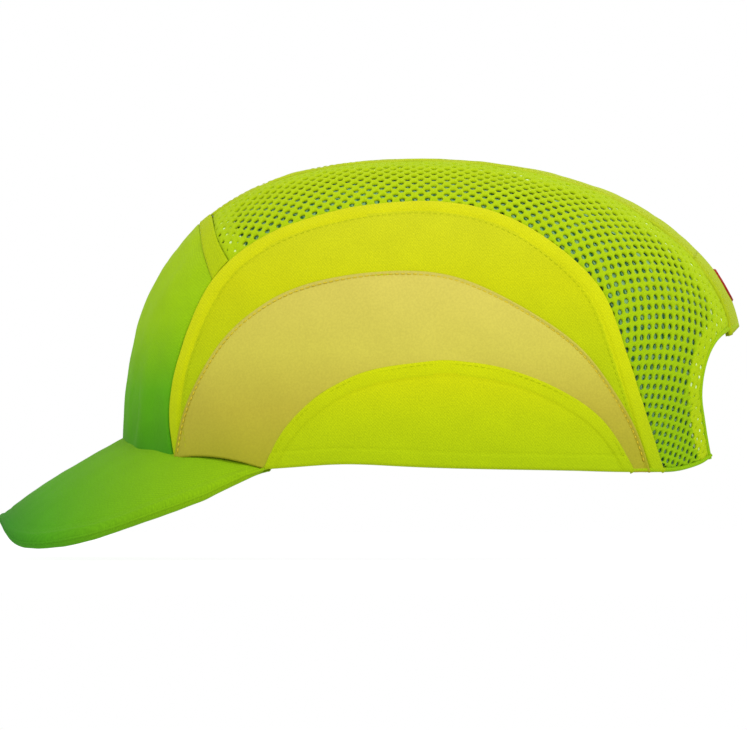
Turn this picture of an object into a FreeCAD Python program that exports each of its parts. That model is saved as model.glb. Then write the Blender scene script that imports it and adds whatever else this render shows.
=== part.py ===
import FreeCAD, Part
import math
import os
from FreeCAD import Vector

# Bump cap: a sewn cover with a short peak, a removable moulded shell with foam pads,
# and a rear strap that passes through a ring and folds back on hook and loop.
# Millimetres. Origin: centre of the head opening, on the hem.
# +Z up, -Y to the front (peak), +X to the wearer's left.

# ---------------------------------------------------------------- driving dimensions
CROWN_HEIGHT = 110.9            # hem to the top of the crown
CROWN_HALF_WIDTH = 89.0         # at the hem
CROWN_SHOULDER = 2.4            # 2 is an ellipse from hem to hem, more is squarer
PLAN_SQUARENESS = 2.3           # the same for the outline seen from above
PLAN_EGG = 0.15                 # how much rounder the outline is at the back than at the front
STATION_STEP = 15.0             # degrees between the levels below, from the hem to the top
FRONT_REACH = (-110.8, -109.3, -103.9, -91.8, -71.4, -43.2, -3.8)
REAR_REACH = (111.5, 111.9, 109.6, 95.3, 70.8, 37.2, -3.8)

FAN_DEPTH = 60.0                # the skin is sampled on planes that turn about a line this far under the hem
FAN_STEPS, ARCH_STEPS = 26, 24  # samples front to back and side to side
FAN_START, FAN_END = 12.0, 168.0
ARCH_END = 66.0
BASE_Z = -12.0                  # solids below the skin are closed here
FAR = 140.0                     # further out than any part of the cap

# Depths below the outer skin. Negative values stand proud of it.
LOWER_PANEL_PROUD = -0.7
BAND_PROUD = -0.5
STRIP_PROUD = -0.3
TWILL = 0.9
MESH = 2.2
FACING_IN, FACING_OUT = 2.8, 2.25
LINING_OUT = 1.0                # outer face of the sweatband and hem tape
HEM_TAPE_IN = 1.6
SWEATBAND_IN = 2.8
LABEL_IN = 3.0
LOOP_DOT_IN = 2.05
HOOK_DOT_OUT = 2.15
RIB_OUT = 2.7
SHELL_OUT, SHELL_IN = 3.4, 5.4
RIM_IN = 6.6
SIDE_PAD_IN = 8.9
END_PAD_IN = 9.4
CROWN_PAD_IN = 11.4
PATCH_PROUD = -0.8

# Seams seen from the side, as (Y, Z).
SIDE_PANEL_EDGE = [(-91.6, 3.4), (-93.4, 17.0), (-90.6, 38.0), (-84.4, 55.8), (-72.2, 74.2), (-56.0, 85.0),
                   (-29.0, 93.4), (0.0, 95.7), (25.0, 91.1), (46.6, 78.5), (61.0, 63.7), (68.9, 44.3),
                   (75.8, 22.7), (83.3, -1.1)]
BAND_EDGE = [(-91.4, 3.6), (-88.0, 20.9), (-83.3, 31.7), (-75.1, 45.0), (-65.7, 54.4), (-54.2, 61.9),
             (-29.0, 69.1), (-11.0, 70.6), (7.0, 68.8), (25.0, 61.7), (39.4, 53.5), (53.8, 42.5),
             (64.6, 28.4), (72.9, 13.7), (77.9, -1.1)]
LOWER_PANEL_EDGE = [(-59.4, 0.2), (-56.6, 7.0), (-47.0, 20.5), (-39.8, 26.6), (-25.4, 34.2), (-11.0, 37.4),
                    (3.4, 38.9), (17.8, 37.8), (32.2, 34.4), (46.6, 28.1), (61.0, 17.4), (72.5, -1.1)]
STRIP_FRONT_EDGE = [(-85.4, 104.0), (-83.0, 87.5), (-81.4, 78.0), (-77.9, 67.3), (-72.0, 54.0)]
STRIP_REAR_EDGE = [(-80.4, 104.0), (-78.3, 90.4), (-76.4, 82.5), (-72.2, 74.2), (-64.0, 62.0)]
YOKE_SEAM = [(88.0, 62.0), (112.0, 84.0)]
ARCH_EDGE = [(110.6, 50.9), (104.2, 47.2), (100.6, 42.5), (98.5, 37.1), (97.2, 30.5), (97.0, 24.5),
             (97.7, 19.1), (98.8, 11.9), (100.3, 4.0)]
HEM_REAR = [(100.3, 4.0), (97.0, 1.8), (93.4, 0.4), (86.2, -1.1)]
HEM_SIDE = [(46.6, -0.4), (-11.0, 1.1), (-32.6, 1.8), (-47.0, 0.9), (-59.0, -0.3)]
HEM_FRONT = [(-72.0, 0.0), (-91.0, 1.5), (-101.0, 3.0), (-110.3, 7.0), (-116.0, 8.0)]

# Half widths of the centre strip seen from above, as (Y, half width).
CENTRE_STRIP = [(-84.0, 14.0), (-40.0, 15.0), (20.0, 17.5), (70.0, 22.0), (100.0, 24.5), (125.0, 25.0)]

# Peak: an arched sheet, tilted down to the front.
PEAK_ROOT_Y, PEAK_ROOT_Z = -110.3, 10.8
PEAK_SLOPE, PEAK_CURL = 0.4923, 0.00305
PEAK_ARCH_RADIUS = 132.0
PEAK_THICKNESS = 4.2
PEAK_COVER = 1.0
PEAK_BOARD_INSET = 0.965        # the board's outline as a share of the peak's
PEAK_CORNER = (80.0, -58.0)
PEAK_SIDE = [(82.5, -75.0), (83.5, -92.0), (82.5, -106.0), (79.5, -119.5), (72.5, -133.0), (65.5, -141.0),
             (55.5, -147.6), (30.0, -153.4)]
PEAK_TIP = (0.0, -155.4)

# Shell, seen from the side, and its pads.
SHELL_RIM_Z = 36.0
SHELL_REAR_Y = 91.8
RIM_HEIGHT = 3.0
VENT_WIDTH = 6.0

# Rear strap. The ring's strap bar is the axis that the free end turns about.
STRAP_LOW, STRAP_HIGH = 4.6, 23.4
WEBBING = 1.2
BAR_RADIUS = 1.0
BAR_PLAY = 0.06
BAR_X, BAR_Y = 34.5, 94.95
ANCHOR_BAR_X = 41.8
RING_LOW, RING_HIGH = 2.2, 25.8
FOLD_END_X = 26.0
TAIL_END_X = -12.0
PULL_TAB_END_X = -25.0
RUN_END_X = 31.0
PATCH_GAP = 0.05
ANCHOR_Y_RANGE = (80.0, 93.5)


# ---------------------------------------------------------------- the crown's skin
def natural_spline(values):
    """A smooth function through values at 0, 1, 2, ... with no bend at its ends."""
    count = len(values)
    bends = [0.0] * count
    factor, rest = [0.0] * count, [0.0] * count
    for i in range(1, count - 1):
        pivot = 4.0 - factor[i - 1]
        factor[i] = 1.0 / pivot
        rest[i] = (6.0 * (values[i - 1] - 2.0 * values[i] + values[i + 1]) - rest[i - 1]) / pivot
    for i in range(count - 2, 0, -1):
        bends[i] = rest[i] - factor[i] * bends[i + 1]

    def value(u):
        i = min(max(int(u), 0), count - 2)
        b = u - i
        a = 1.0 - b
        bend = (a ** 3 - a) * bends[i] + (b ** 3 - b) * bends[i + 1]
        return a * values[i] + b * values[i + 1] + bend / 6.0

    return value


front_reach = natural_spline(FRONT_REACH)
rear_reach = natural_spline(REAR_REACH)


def is_inside(x, y, z):
    """Whether a point lies under the crown's outer skin."""
    if z >= CROWN_HEIGHT:
        return False
    share = max(z, 0.0) / CROWN_HEIGHT
    level = math.degrees(math.asin(share)) / STATION_STEP
    front, rear = front_reach(level), rear_reach(level)
    half_width = CROWN_HALF_WIDTH * (1.0 - share ** CROWN_SHOULDER) ** (1.0 / CROWN_SHOULDER)
    along = (2.0 * y - front - rear) / (rear - front)
    if abs(along) >= 1.0:
        return False
    power = PLAN_SQUARENESS - PLAN_EGG * along
    return abs(x) < half_width * (1.0 - abs(along) ** power) ** (1.0 / power)


def skin_point(fan, arch):
    """The skin's point in the direction of these two angles, in degrees, from the fan's centre."""
    f, a = math.radians(fan), math.radians(arch)
    direction = (math.sin(a), math.cos(a) * math.cos(f), math.cos(a) * math.sin(f))
    low, high = 10.0, 260.0
    for _ in range(40):
        middle = (low + high) / 2.0
        if is_inside(direction[0] * middle, direction[1] * middle, direction[2] * middle - FAN_DEPTH):
            low = middle
        else:
            high = middle
    return Vector(direction[0] * low, direction[1] * low, direction[2] * low - FAN_DEPTH)


def sample_skin():
    """Points of the skin and the unit normals that point outwards."""
    nudge = 0.4
    rows = []
    for i in range(FAN_STEPS):
        fan = FAN_START + (FAN_END - FAN_START) * i / (FAN_STEPS - 1)
        row = []
        for j in range(ARCH_STEPS):
            arch = ARCH_END * (2.0 * j / (ARCH_STEPS - 1) - 1.0)
            across = skin_point(fan, arch + nudge) - skin_point(fan, arch - nudge)
            along = skin_point(fan + nudge, arch) - skin_point(fan - nudge, arch)
            row.append((skin_point(fan, arch), across.cross(along).normalize() * -1.0))
        rows.append(row)
    sign = 1.0 if rows[FAN_STEPS // 2][ARCH_STEPS // 2][1].z > 0 else -1.0
    return [[(point, normal * sign) for point, normal in row] for row in rows]


SKIN = sample_skin()
crown_solids = {}


def under(depth):
    """The solid under the skin moved in by a depth, down to the base plane."""
    if depth not in crown_solids:
        surface = Part.BSplineSurface()
        surface.interpolate([[point - normal * depth for point, normal in row] for row in SKIN])
        block = Part.makeBox(2 * FAR, 2 * FAR, FAR - BASE_Z, Vector(-FAR, -FAR, BASE_Z))
        pieces = block.generalFuse([surface.toShape()])[1][0]
        crown_solids[depth] = min(pieces, key=lambda piece: piece.Volume)
    return crown_solids[depth]


def layer(outer, inner):
    """The curved sheet between two depths."""
    return under(outer).cut(under(inner))


# ---------------------------------------------------------------- cutters
def outline_wire(smooth, straight, place):
    """A closed wire: a smooth curve through some points, then straight lines through the others."""
    points = [place(*p) for p in smooth]
    curve = Part.BSplineCurve()
    curve.interpolate(points)
    corners = [points[-1]] + [place(*p) for p in straight] + [points[0]]
    lines = [Part.makeLine(a, b) for a, b in zip(corners, corners[1:]) if (b - a).Length > 1e-6]
    return Part.Wire([curve.toShape()] + lines)


def side_cutter(smooth, straight, x_from=-FAR, x_to=FAR):
    """A side view outline, run through the cap from side to side."""
    wire = outline_wire(smooth, straight, lambda y, z: Vector(x_from, y, z))
    return Part.Face(wire).extrude(Vector(x_to - x_from, 0, 0))


def top_cutter(smooth, straight, z_from=BASE_Z, z_to=FAR):
    """An outline seen from above, run up through the cap."""
    wire = outline_wire(smooth, straight, lambda x, y: Vector(x, y, z_from))
    return Part.Face(wire).extrude(Vector(0, 0, z_to - z_from))


def box(x, y, z):
    """A box from three (low, high) pairs."""
    size = [high - low for low, high in (x, y, z)]
    return Part.makeBox(*size, Vector(x[0], y[0], z[0]))


def rounded_box(x, y, z, radius, along):
    """A box whose four edges along one axis are rounded."""
    block = box(x, y, z)
    picked = [e for e in block.Edges if abs(e.tangentAt(e.FirstParameter).dot(along)) > 0.99]
    return block.makeFillet(radius, picked)


def rod(start, end, radius):
    """A round bar between two points."""
    return Part.makeCylinder(radius, (end - start).Length, start, end - start)


def mirrored(shape):
    """The same piece on the other side."""
    return shape.mirror(Vector(0, 0, 0), Vector(1, 0, 0))


X_AXIS, Y_AXIS, Z_AXIS = Vector(1, 0, 0), Vector(0, 1, 0), Vector(0, 0, 1)
left_half = box((0, FAR), (-FAR, FAR), (BASE_Z, FAR))
above_hem = side_cutter(HEM_REAR + HEM_SIDE + HEM_FRONT, [(-FAR, 8.0), (-FAR, FAR), (FAR, FAR), (FAR, 4.0)])
side_region = side_cutter(SIDE_PANEL_EDGE, [(83.3, BASE_Z), (-91.6, BASE_Z)])
band_region = side_cutter(BAND_EDGE, [(77.9, BASE_Z), (-91.4, BASE_Z)])
lower_region = side_cutter(LOWER_PANEL_EDGE, [(72.5, BASE_Z), (-59.4, BASE_Z)])
behind_arch = side_cutter(ARCH_EDGE, [(100.3, BASE_Z - 1), (FAR, BASE_Z - 1), (FAR, 50.9)])
behind_strip_front = side_cutter(STRIP_FRONT_EDGE,
                                 [(-72.0, BASE_Z), (FAR, BASE_Z), (FAR, 104.0 + FAR), (-85.4, 104.0 + FAR)])
behind_strip_rear = side_cutter(STRIP_REAR_EDGE,
                                [(-64.0, BASE_Z), (FAR, BASE_Z), (FAR, 104.0 + FAR), (-80.4, 104.0 + FAR)])
behind_yoke_seam = side_cutter(YOKE_SEAM, [(FAR, 84.0), (FAR, BASE_Z), (88.0, BASE_Z)])
centre_region = top_cutter([(half, y) for y, half in CENTRE_STRIP],
                           [(-CENTRE_STRIP[-1][1], CENTRE_STRIP[-1][0]),
                            (-CENTRE_STRIP[0][1], CENTRE_STRIP[0][0])])
centre_region = centre_region.common(mirrored(centre_region))
# The strip's smooth edge is on the left; its mirror image trims the right.


# ---------------------------------------------------------------- the sewn cover
def cover_panels(parts):
    """The fabric panels of the crown."""
    twill = layer(0.0, TWILL).common(above_hem).cut(behind_arch)
    mesh = layer(0.0, MESH).common(above_hem).cut(behind_arch)
    parts["front_panel"] = twill.cut(behind_strip_front).cut(side_region)
    strip = layer(STRIP_PROUD, TWILL).common(behind_strip_front).cut(behind_strip_rear)
    parts["front_seam_strip"] = strip.cut(side_region)
    parts["side_panel_left"] = twill.common(side_region).common(left_half)
    band = layer(BAND_PROUD, 0.0).common(above_hem).common(band_region).cut(lower_region)
    parts["reflective_band_left"] = band.common(left_half)
    lower = layer(LOWER_PANEL_PROUD, 0.0).common(above_hem).common(lower_region)
    parts["lower_panel_left"] = lower.common(left_half)
    over_crown = mesh.common(behind_strip_rear).cut(side_region)
    parts["crown_mesh_left"] = over_crown.cut(centre_region).common(left_half)
    centre = twill.common(behind_strip_rear).common(centre_region)
    parts["crown_strip"] = centre.cut(behind_yoke_seam)
    parts["rear_yoke"] = centre.common(behind_yoke_seam)
    for name in ("side_panel", "reflective_band", "lower_panel", "crown_mesh"):
        parts[name + "_right"] = mirrored(parts[name + "_left"])


def cover_trim(parts):
    """Tapes, sweatband, label and patch that are sewn to the panels."""
    arch_zone = [(y - 11.0, z + (9.0 if z > 45 else 0.0)) for y, z in ARCH_EDGE]
    near_arch = side_cutter(arch_zone, [(89.3, BASE_Z), (FAR, BASE_Z), (FAR, 59.9)])
    facing = layer(FACING_OUT, FACING_IN).common(above_hem).cut(behind_arch).common(near_arch)
    clear_of_strap = box((-60, 60), (85, FAR), (0.0, STRAP_HIGH + 3.0))
    parts["arch_facing"] = facing.cut(clear_of_strap).cut(centre_region)
    hem = HEM_REAR[1:] + HEM_SIDE + HEM_FRONT
    low = [(y, z + 3.2) for y, z in hem]
    below_tape_top = side_cutter(low, [(-FAR, 11.2), (-FAR, BASE_Z), (97.0, BASE_Z)])
    within_side_panels = box((-FAR, FAR), (-FAR, 71.5), (BASE_Z, FAR))
    lined = under(LINING_OUT).common(above_hem).common(within_side_panels)
    parts["hem_tape"] = lined.cut(under(HEM_TAPE_IN)).common(below_tape_top)
    band_top = box((-FAR, FAR), (-FAR, FAR), (BASE_Z, 31.0))
    tape_clear = side_cutter([(y, z + 3.3) for y, z in hem], [(-FAR, 11.3), (-FAR, BASE_Z), (97.0, BASE_Z)])
    parts["sweatband"] = lined.cut(under(SWEATBAND_IN)).common(band_top).cut(tape_clear)
    label_area = rounded_box((0, FAR), (34.0, 52.0), (8.0, 27.0), 1.5, X_AXIS)
    parts["care_label"] = layer(SWEATBAND_IN, LABEL_IN).common(label_area)
    patch_area = rounded_box((-8.5, 8.5), (60.0, FAR), (59.5, 71.5), 2.5, Y_AXIS)
    parts["rear_patch"] = layer(PATCH_PROUD, 0.0).common(patch_area)
    dots = [Part.makeCylinder(11.0, 2 * FAR, Vector(-FAR, y, z), X_AXIS)
            for y, z in ((-58.0, 56.0), (42.0, 58.0))]
    discs = layer(TWILL + 0.05, LOOP_DOT_IN)
    parts["loop_dots"] = Part.makeCompound([s for dot in dots for s in discs.common(dot).Solids])
    return dots


# ---------------------------------------------------------------- the peak
def peak_height(x, y, down):
    """Height of the peak's sheet, a distance down from its top face."""
    ahead = PEAK_ROOT_Y - y
    drop = PEAK_ARCH_RADIUS - math.sqrt(PEAK_ARCH_RADIUS ** 2 - x * x)
    return PEAK_ROOT_Z - PEAK_SLOPE * ahead - PEAK_CURL * ahead * ahead - drop - down


def peak_slab(column, top, bottom):
    """The part of a column between two depths under the peak's top face."""
    cells = column.Solids
    for down in (top, bottom):
        rows = [[Vector(x, y, peak_height(x, y, down)) for y in range(-170, -39, 10)]
                for x in range(-100, 101, 10)]
        sheet = Part.BSplineSurface()
        sheet.interpolate(rows)
        cells = [piece for cell in cells for piece in cell.generalFuse([sheet.toShape()])[0].Solids]
    middle = (top + bottom) / 2.0
    probe = Vector(0.0, -125.0, peak_height(0.0, -125.0, middle))
    return [piece for piece in cells if piece.isInside(probe, 1e-3, False)][0]


def peak_column(share):
    """The peak's outline seen from above, scaled about its root, as a tall column."""
    side = [(x * share, y * share + PEAK_ROOT_Y * (1.0 - share)) for x, y in PEAK_SIDE]
    corner = (PEAK_CORNER[0] * share, PEAK_CORNER[1])
    tip = (0.0, PEAK_TIP[1] * share + PEAK_ROOT_Y * (1.0 - share))
    half = [corner] + side
    points = half + [tip] + [(-x, y) for x, y in reversed(half)]
    return top_cutter(points, [], -60.0, 60.0).cut(under(0.0))


def peak_parts(parts):
    """The peak's board between its two covers, with the cord in its rolled edge."""
    overlays = [parts[name + side]
                for name in ("reflective_band_", "lower_panel_")
                for side in ("left", "right")]
    whole, core = (peak_column(share).cut(overlays) for share in (1.0, PEAK_BOARD_INSET))
    inner_top, inner_bottom = PEAK_COVER, PEAK_THICKNESS - PEAK_COVER
    parts["peak_top_cover"] = peak_slab(whole, 0.0, inner_top)
    parts["peak_under_cover"] = peak_slab(whole, inner_bottom, PEAK_THICKNESS)
    parts["peak_board"] = peak_slab(core, inner_top, inner_bottom)
    ring = peak_slab(whole, inner_top, inner_bottom).cut(core)
    parts["peak_edge_cord"] = max(ring.Solids, key=lambda s: s.Volume)


# ---------------------------------------------------------------- the removable shell
def shell_parts(parts, dots):
    """The moulded shell, its six foam pads and the hook dots that hold it in the cover."""
    envelope = box((-FAR, FAR), (-FAR, SHELL_REAR_Y), (SHELL_RIM_Z, FAR))
    body = layer(SHELL_OUT, SHELL_IN)
    rim_zone = box((-FAR, FAR), (-FAR, FAR), (BASE_Z, SHELL_RIM_Z + RIM_HEIGHT))
    rim = layer(SHELL_IN - 0.1, RIM_IN).common(rim_zone)
    ribs = [rounded_box((x - 2.5, x + 2.5), (-70.0, 74.0), (60.0, FAR), 2.4, Z_AXIS)
            for x in (-32.0, 0.0, 32.0)]
    raised = layer(RIB_OUT, SHELL_OUT + 0.1)
    shell = body.fuse([rim] + [raised.common(rib) for rib in ribs]).common(envelope)
    corner = side_cutter([(48.0, SHELL_RIM_Z - 0.1), (66.0, 38.5), (82.0, 46.0), (92.0, 58.0)],
                         [(FAR, 58.0), (FAR, BASE_Z), (48.0, BASE_Z)])
    shell = shell.cut(corner)
    vents = []
    for x in (-48.0, -16.0, 16.0, 48.0):
        for y in (-44.0, -12.0, 20.0, 52.0):
            half = VENT_WIDTH / 2.0
            vent = rounded_box((x - half, x + half), (y - 11.0, y + 11.0), (60.0, FAR), half - 0.05, Z_AXIS)
            vents.append(vent)
    for y in (-52.0, -26.0, 0.0, 26.0, 52.0):
        vents.append(rounded_box((-FAR, FAR), (y - 3.0, y + 3.0), (46.0, 60.0), 2.9, X_AXIS))
    parts["bump_shell"] = shell.cut(vents)

    crown_pad = layer(SHELL_IN, CROWN_PAD_IN)
    for side, x in (("left", (22.0, 42.0)), ("right", (-42.0, -22.0))):
        parts["crown_pad_" + side] = crown_pad.common(rounded_box(x, (-52.0, 56.0), (60.0, FAR), 7.0, Z_AXIS))
    centre_outline = rounded_box((-10.5, 10.5), (-52.0, 56.0), (60.0, FAR), 7.0, Z_AXIS)
    parts["crown_pad_centre"] = crown_pad.common(centre_outline)
    end_pad = layer(SHELL_IN, END_PAD_IN)
    parts["front_pad"] = end_pad.common(rounded_box((-52.0, 52.0), (-FAR, -60.0), (44.0, 84.0), 9.0, Y_AXIS))
    rear_outline = rounded_box((-36.0, 36.0), (60.0, SHELL_REAR_Y - 1.5), (56.0, 96.0), 6.0, Z_AXIS)
    parts["rear_pad"] = end_pad.common(rear_outline)
    side_pad = layer(SHELL_IN, SIDE_PAD_IN)
    for side, x in (("left", (0.0, FAR)), ("right", (-FAR, 0.0))):
        parts["side_pad_" + side] = side_pad.common(rounded_box(x, (-50.0, 54.0), (62.0, 76.0), 6.0, X_AXIS))
    hooks = layer(HOOK_DOT_OUT, SHELL_OUT)
    parts["hook_dots"] = Part.makeCompound([s for dot in dots for s in hooks.common(dot).Solids])


# ---------------------------------------------------------------- the rear strap
def webbing_layer(y_low, x_low, x_high):
    """A flat run of webbing, square across the back."""
    return box((x_low, x_high), (y_low, y_low + WEBBING), (STRAP_LOW, STRAP_HIGH))


def strap_parts(parts):
    """The strap's fixed run and ring, and the free end that folds back round the ring's bar."""
    touch = BAR_RADIUS + BAR_PLAY
    run_y, tail_y = BAR_Y - touch - WEBBING, BAR_Y + touch
    anchor_zone = box((0, 66.0), ANCHOR_Y_RANGE, (STRAP_LOW, STRAP_HIGH))
    sewn = layer(MESH + 0.1, MESH + 0.1 + WEBBING).common(anchor_zone)
    run = webbing_layer(run_y, -47.5, RUN_END_X).common(under(MESH + 0.1))
    parts["strap_run"] = run.fuse(mirrored(sewn)).removeSplitter()

    def bar_point(x, z):
        return Vector(x, BAR_Y, z)

    low, high = RING_LOW + BAR_RADIUS, RING_HIGH - BAR_RADIUS
    corners = [bar_point(x, z)
               for x, z in ((BAR_X, low), (BAR_X, high), (ANCHOR_BAR_X, high), (ANCHOR_BAR_X, low))]
    ring = [rod(a, b, BAR_RADIUS) for a, b in zip(corners, corners[1:] + corners[:1])]
    ring += [Part.makeSphere(BAR_RADIUS, corner) for corner in corners]
    parts["strap_ring"] = ring[0].fuse(ring[1:]).removeSplitter()

    sleeve = rod(bar_point(ANCHOR_BAR_X, STRAP_LOW), bar_point(ANCHOR_BAR_X, STRAP_HIGH), touch + WEBBING)
    web = box((ANCHOR_BAR_X, 47.5), (run_y, run_y + WEBBING), (STRAP_LOW, STRAP_HIGH))
    web = web.common(under(MESH + 0.1))
    hole = rod(bar_point(ANCHOR_BAR_X, 0.0), bar_point(ANCHOR_BAR_X, 30.0), touch)
    parts["ring_tab"] = sewn.fuse([sleeve.common(under(MESH + 0.1)), web]).cut(hole).removeSplitter()

    wrap = rod(bar_point(BAR_X, STRAP_LOW), bar_point(BAR_X, STRAP_HIGH), touch + WEBBING)
    wrap = wrap.cut(rod(bar_point(BAR_X, 0.0), bar_point(BAR_X, 30.0), touch))
    root = webbing_layer(tail_y, FOLD_END_X, BAR_X)
    parts["strap_fold"] = wrap.cut(box((0, BAR_X), (80, 110), (0, 30))).fuse(root).removeSplitter()
    parts["strap_tail"] = webbing_layer(tail_y, TAIL_END_X, FOLD_END_X)
    inset = 1.4
    middle = run_y + WEBBING + (tail_y - run_y - WEBBING) / 2.0
    z_range = (STRAP_LOW + inset, STRAP_HIGH - inset)
    parts["loop_patch"] = box((-40.0, 29.0), (run_y + WEBBING, middle - PATCH_GAP), z_range)
    parts["hook_patch"] = box((TAIL_END_X + 2.0, FOLD_END_X - 3.0), (middle + PATCH_GAP, tail_y), z_range)
    grip = rounded_box((PULL_TAB_END_X, TAIL_END_X), (tail_y - 0.6, tail_y + WEBBING + 0.6),
                       (STRAP_LOW + 0.8, STRAP_HIGH - 0.8), 4.0, Y_AXIS)
    ridge_y = tail_y + WEBBING + 0.6
    ridges = [rod(Vector(x, ridge_y, STRAP_LOW + 4.0), Vector(x, ridge_y, STRAP_HIGH - 4.0), 0.6)
              for x in (-21.5, -19.0, -16.5)]
    parts["pull_tab"] = grip.fuse(ridges).removeSplitter()


# ---------------------------------------------------------------- build
def main():
    os.makedirs("parts", exist_ok=True)
    for name in os.listdir("parts"):
        if name.endswith(".step"):
            os.remove(os.path.join("parts", name))
    parts = {}
    cover_panels(parts)
    dots = cover_trim(parts)
    peak_parts(parts)
    shell_parts(parts, dots)
    strap_parts(parts)
    for name, shape in sorted(parts.items()):
        solids = [s.reversed() if s.Volume < 0 else s for s in shape.Solids]
        valid = all(s.isValid() for s in solids)
        print(f"{name:22s} solids {len(solids)}  valid {valid}  volume {sum(s.Volume for s in solids):9.1f}")
        if len(solids) == 1:
            solids[0].exportStep(f"parts/{name}.step")
        else:
            Part.makeCompound(solids).exportStep(f"parts/{name}.step")


main()
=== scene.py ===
import math
import bmesh
import bpy
import numpy as np
from mathutils import Matrix, Vector
from mathutils.kdtree import KDTree


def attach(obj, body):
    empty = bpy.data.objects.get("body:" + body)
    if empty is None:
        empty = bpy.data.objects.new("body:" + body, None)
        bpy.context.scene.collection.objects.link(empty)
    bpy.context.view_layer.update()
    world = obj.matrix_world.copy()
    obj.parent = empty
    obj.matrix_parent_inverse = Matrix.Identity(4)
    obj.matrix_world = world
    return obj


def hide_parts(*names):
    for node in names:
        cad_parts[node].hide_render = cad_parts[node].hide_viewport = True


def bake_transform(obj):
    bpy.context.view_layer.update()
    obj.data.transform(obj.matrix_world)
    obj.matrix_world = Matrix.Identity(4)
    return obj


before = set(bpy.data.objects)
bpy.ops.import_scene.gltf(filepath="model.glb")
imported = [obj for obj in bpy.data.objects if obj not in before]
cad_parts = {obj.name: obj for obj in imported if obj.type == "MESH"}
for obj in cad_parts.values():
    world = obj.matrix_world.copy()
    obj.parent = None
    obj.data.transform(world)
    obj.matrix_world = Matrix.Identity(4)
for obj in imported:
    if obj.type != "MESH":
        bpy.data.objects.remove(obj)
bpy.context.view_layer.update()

MM = 0.001
SIDES = (("left", 1.0), ("right", -1.0))

# ---------------------------------------------------------------- the cap's own sizes, in mm
CROWN_HEIGHT = 110.9
CROWN_HALF_WIDTH = 89.0
CROWN_SHOULDER = 2.4
PLAN_SQUARENESS = 2.3
PLAN_EGG = 0.15
STATION_STEP = 15.0
FRONT_REACH = (-110.8, -109.3, -103.9, -91.8, -71.4, -43.2, -3.8)
REAR_REACH = (111.5, 111.9, 109.6, 95.3, 70.8, 37.2, -3.8)
FAN_DEPTH = 60.0

SIDE_PANEL_EDGE = [(-91.6, 3.4), (-93.4, 17.0), (-90.6, 38.0), (-84.4, 55.8), (-72.2, 74.2), (-56.0, 85.0),
                   (-29.0, 93.4), (0.0, 95.7), (25.0, 91.1), (46.6, 78.5), (61.0, 63.7), (68.9, 44.3),
                   (75.8, 22.7), (83.3, -1.1)]
BAND_EDGE = [(-91.4, 3.6), (-88.0, 20.9), (-83.3, 31.7), (-75.1, 45.0), (-65.7, 54.4), (-54.2, 61.9),
             (-29.0, 69.1), (-11.0, 70.6), (7.0, 68.8), (25.0, 61.7), (39.4, 53.5), (53.8, 42.5),
             (64.6, 28.4), (72.9, 13.7), (77.9, -1.1)]
LOWER_PANEL_EDGE = [(-59.4, 0.2), (-56.6, 7.0), (-47.0, 20.5), (-39.8, 26.6), (-25.4, 34.2), (-11.0, 37.4),
                    (3.4, 38.9), (17.8, 37.8), (32.2, 34.4), (46.6, 28.1), (61.0, 17.4), (72.5, -1.1)]
STRIP_FRONT_EDGE = [(-83.8, 92.0), (-83.0, 87.5), (-81.4, 78.0), (-77.9, 67.3)]
STRIP_REAR_EDGE = [(-78.6, 92.0), (-78.3, 90.4), (-76.4, 82.5), (-72.2, 74.2)]
ARCH_EDGE = [(110.6, 50.9), (104.2, 47.2), (100.6, 42.5), (98.5, 37.1), (97.2, 30.5), (97.0, 24.5),
             (97.7, 19.1), (98.8, 11.9), (100.3, 4.0)]
HEM_REAR = [(83.3, -1.1), (88.0, -0.9), (93.4, 0.4), (97.0, 1.8), (100.3, 4.0)]
HEM_SIDE = [(-59.4, 0.0), (-47.0, 0.9), (-32.6, 1.8), (-11.0, 1.1), (46.6, -0.4), (72.5, -1.1),
            (83.3, -1.1)]
HEM_FRONT = [(-59.4, 0.0), (-72.0, 0.0), (-91.6, 1.8), (-101.0, 3.0), (-110.3, 7.0), (-111.5, 7.4)]
CENTRE_STRIP = [(-84.0, 14.0), (-40.0, 15.0), (20.0, 17.5), (70.0, 22.0), (100.0, 24.5), (125.0, 25.0)]

PEAK_ROOT_Y, PEAK_ROOT_Z = -110.3, 10.8
PEAK_SLOPE, PEAK_CURL = 0.4923, 0.00305
PEAK_ARCH_RADIUS = 132.0
PEAK_THICKNESS = 4.2
PEAK_DROOP = 1.6
PEAK_CORNER = (80.0, -58.0)
PEAK_SIDE = [(82.5, -75.0), (83.5, -92.0), (82.5, -106.0), (79.5, -119.5), (72.5, -133.0), (65.5, -141.0),
             (55.5, -147.6), (30.0, -153.4)]
PEAK_TIP = (0.0, -155.4)

STRAP_LOW, STRAP_HIGH = 4.6, 23.4
WEBBING = 1.2
BAR_X, BAR_Y = 34.5, 94.95
ANCHOR_BAR_X = 41.8
WRAP_RADIUS = 1.66              # from the ring's bar to the middle of the webbing
TAIL_END_X = -12.0


# ---------------------------------------------------------------- smooth lines and the crown's skin
def natural_bends(steps, values):
    """Second derivatives of the smooth line through some values."""
    count = len(values)
    system, right = np.eye(count), np.zeros_like(values)
    for i in range(1, count - 1):
        system[i, i - 1:i + 2] = steps[i - 1], 2 * (steps[i - 1] + steps[i]), steps[i]
        right[i] = 6 * ((values[i + 1] - values[i]) / steps[i] - (values[i] - values[i - 1]) / steps[i - 1])
    return np.linalg.solve(system, right)


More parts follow.
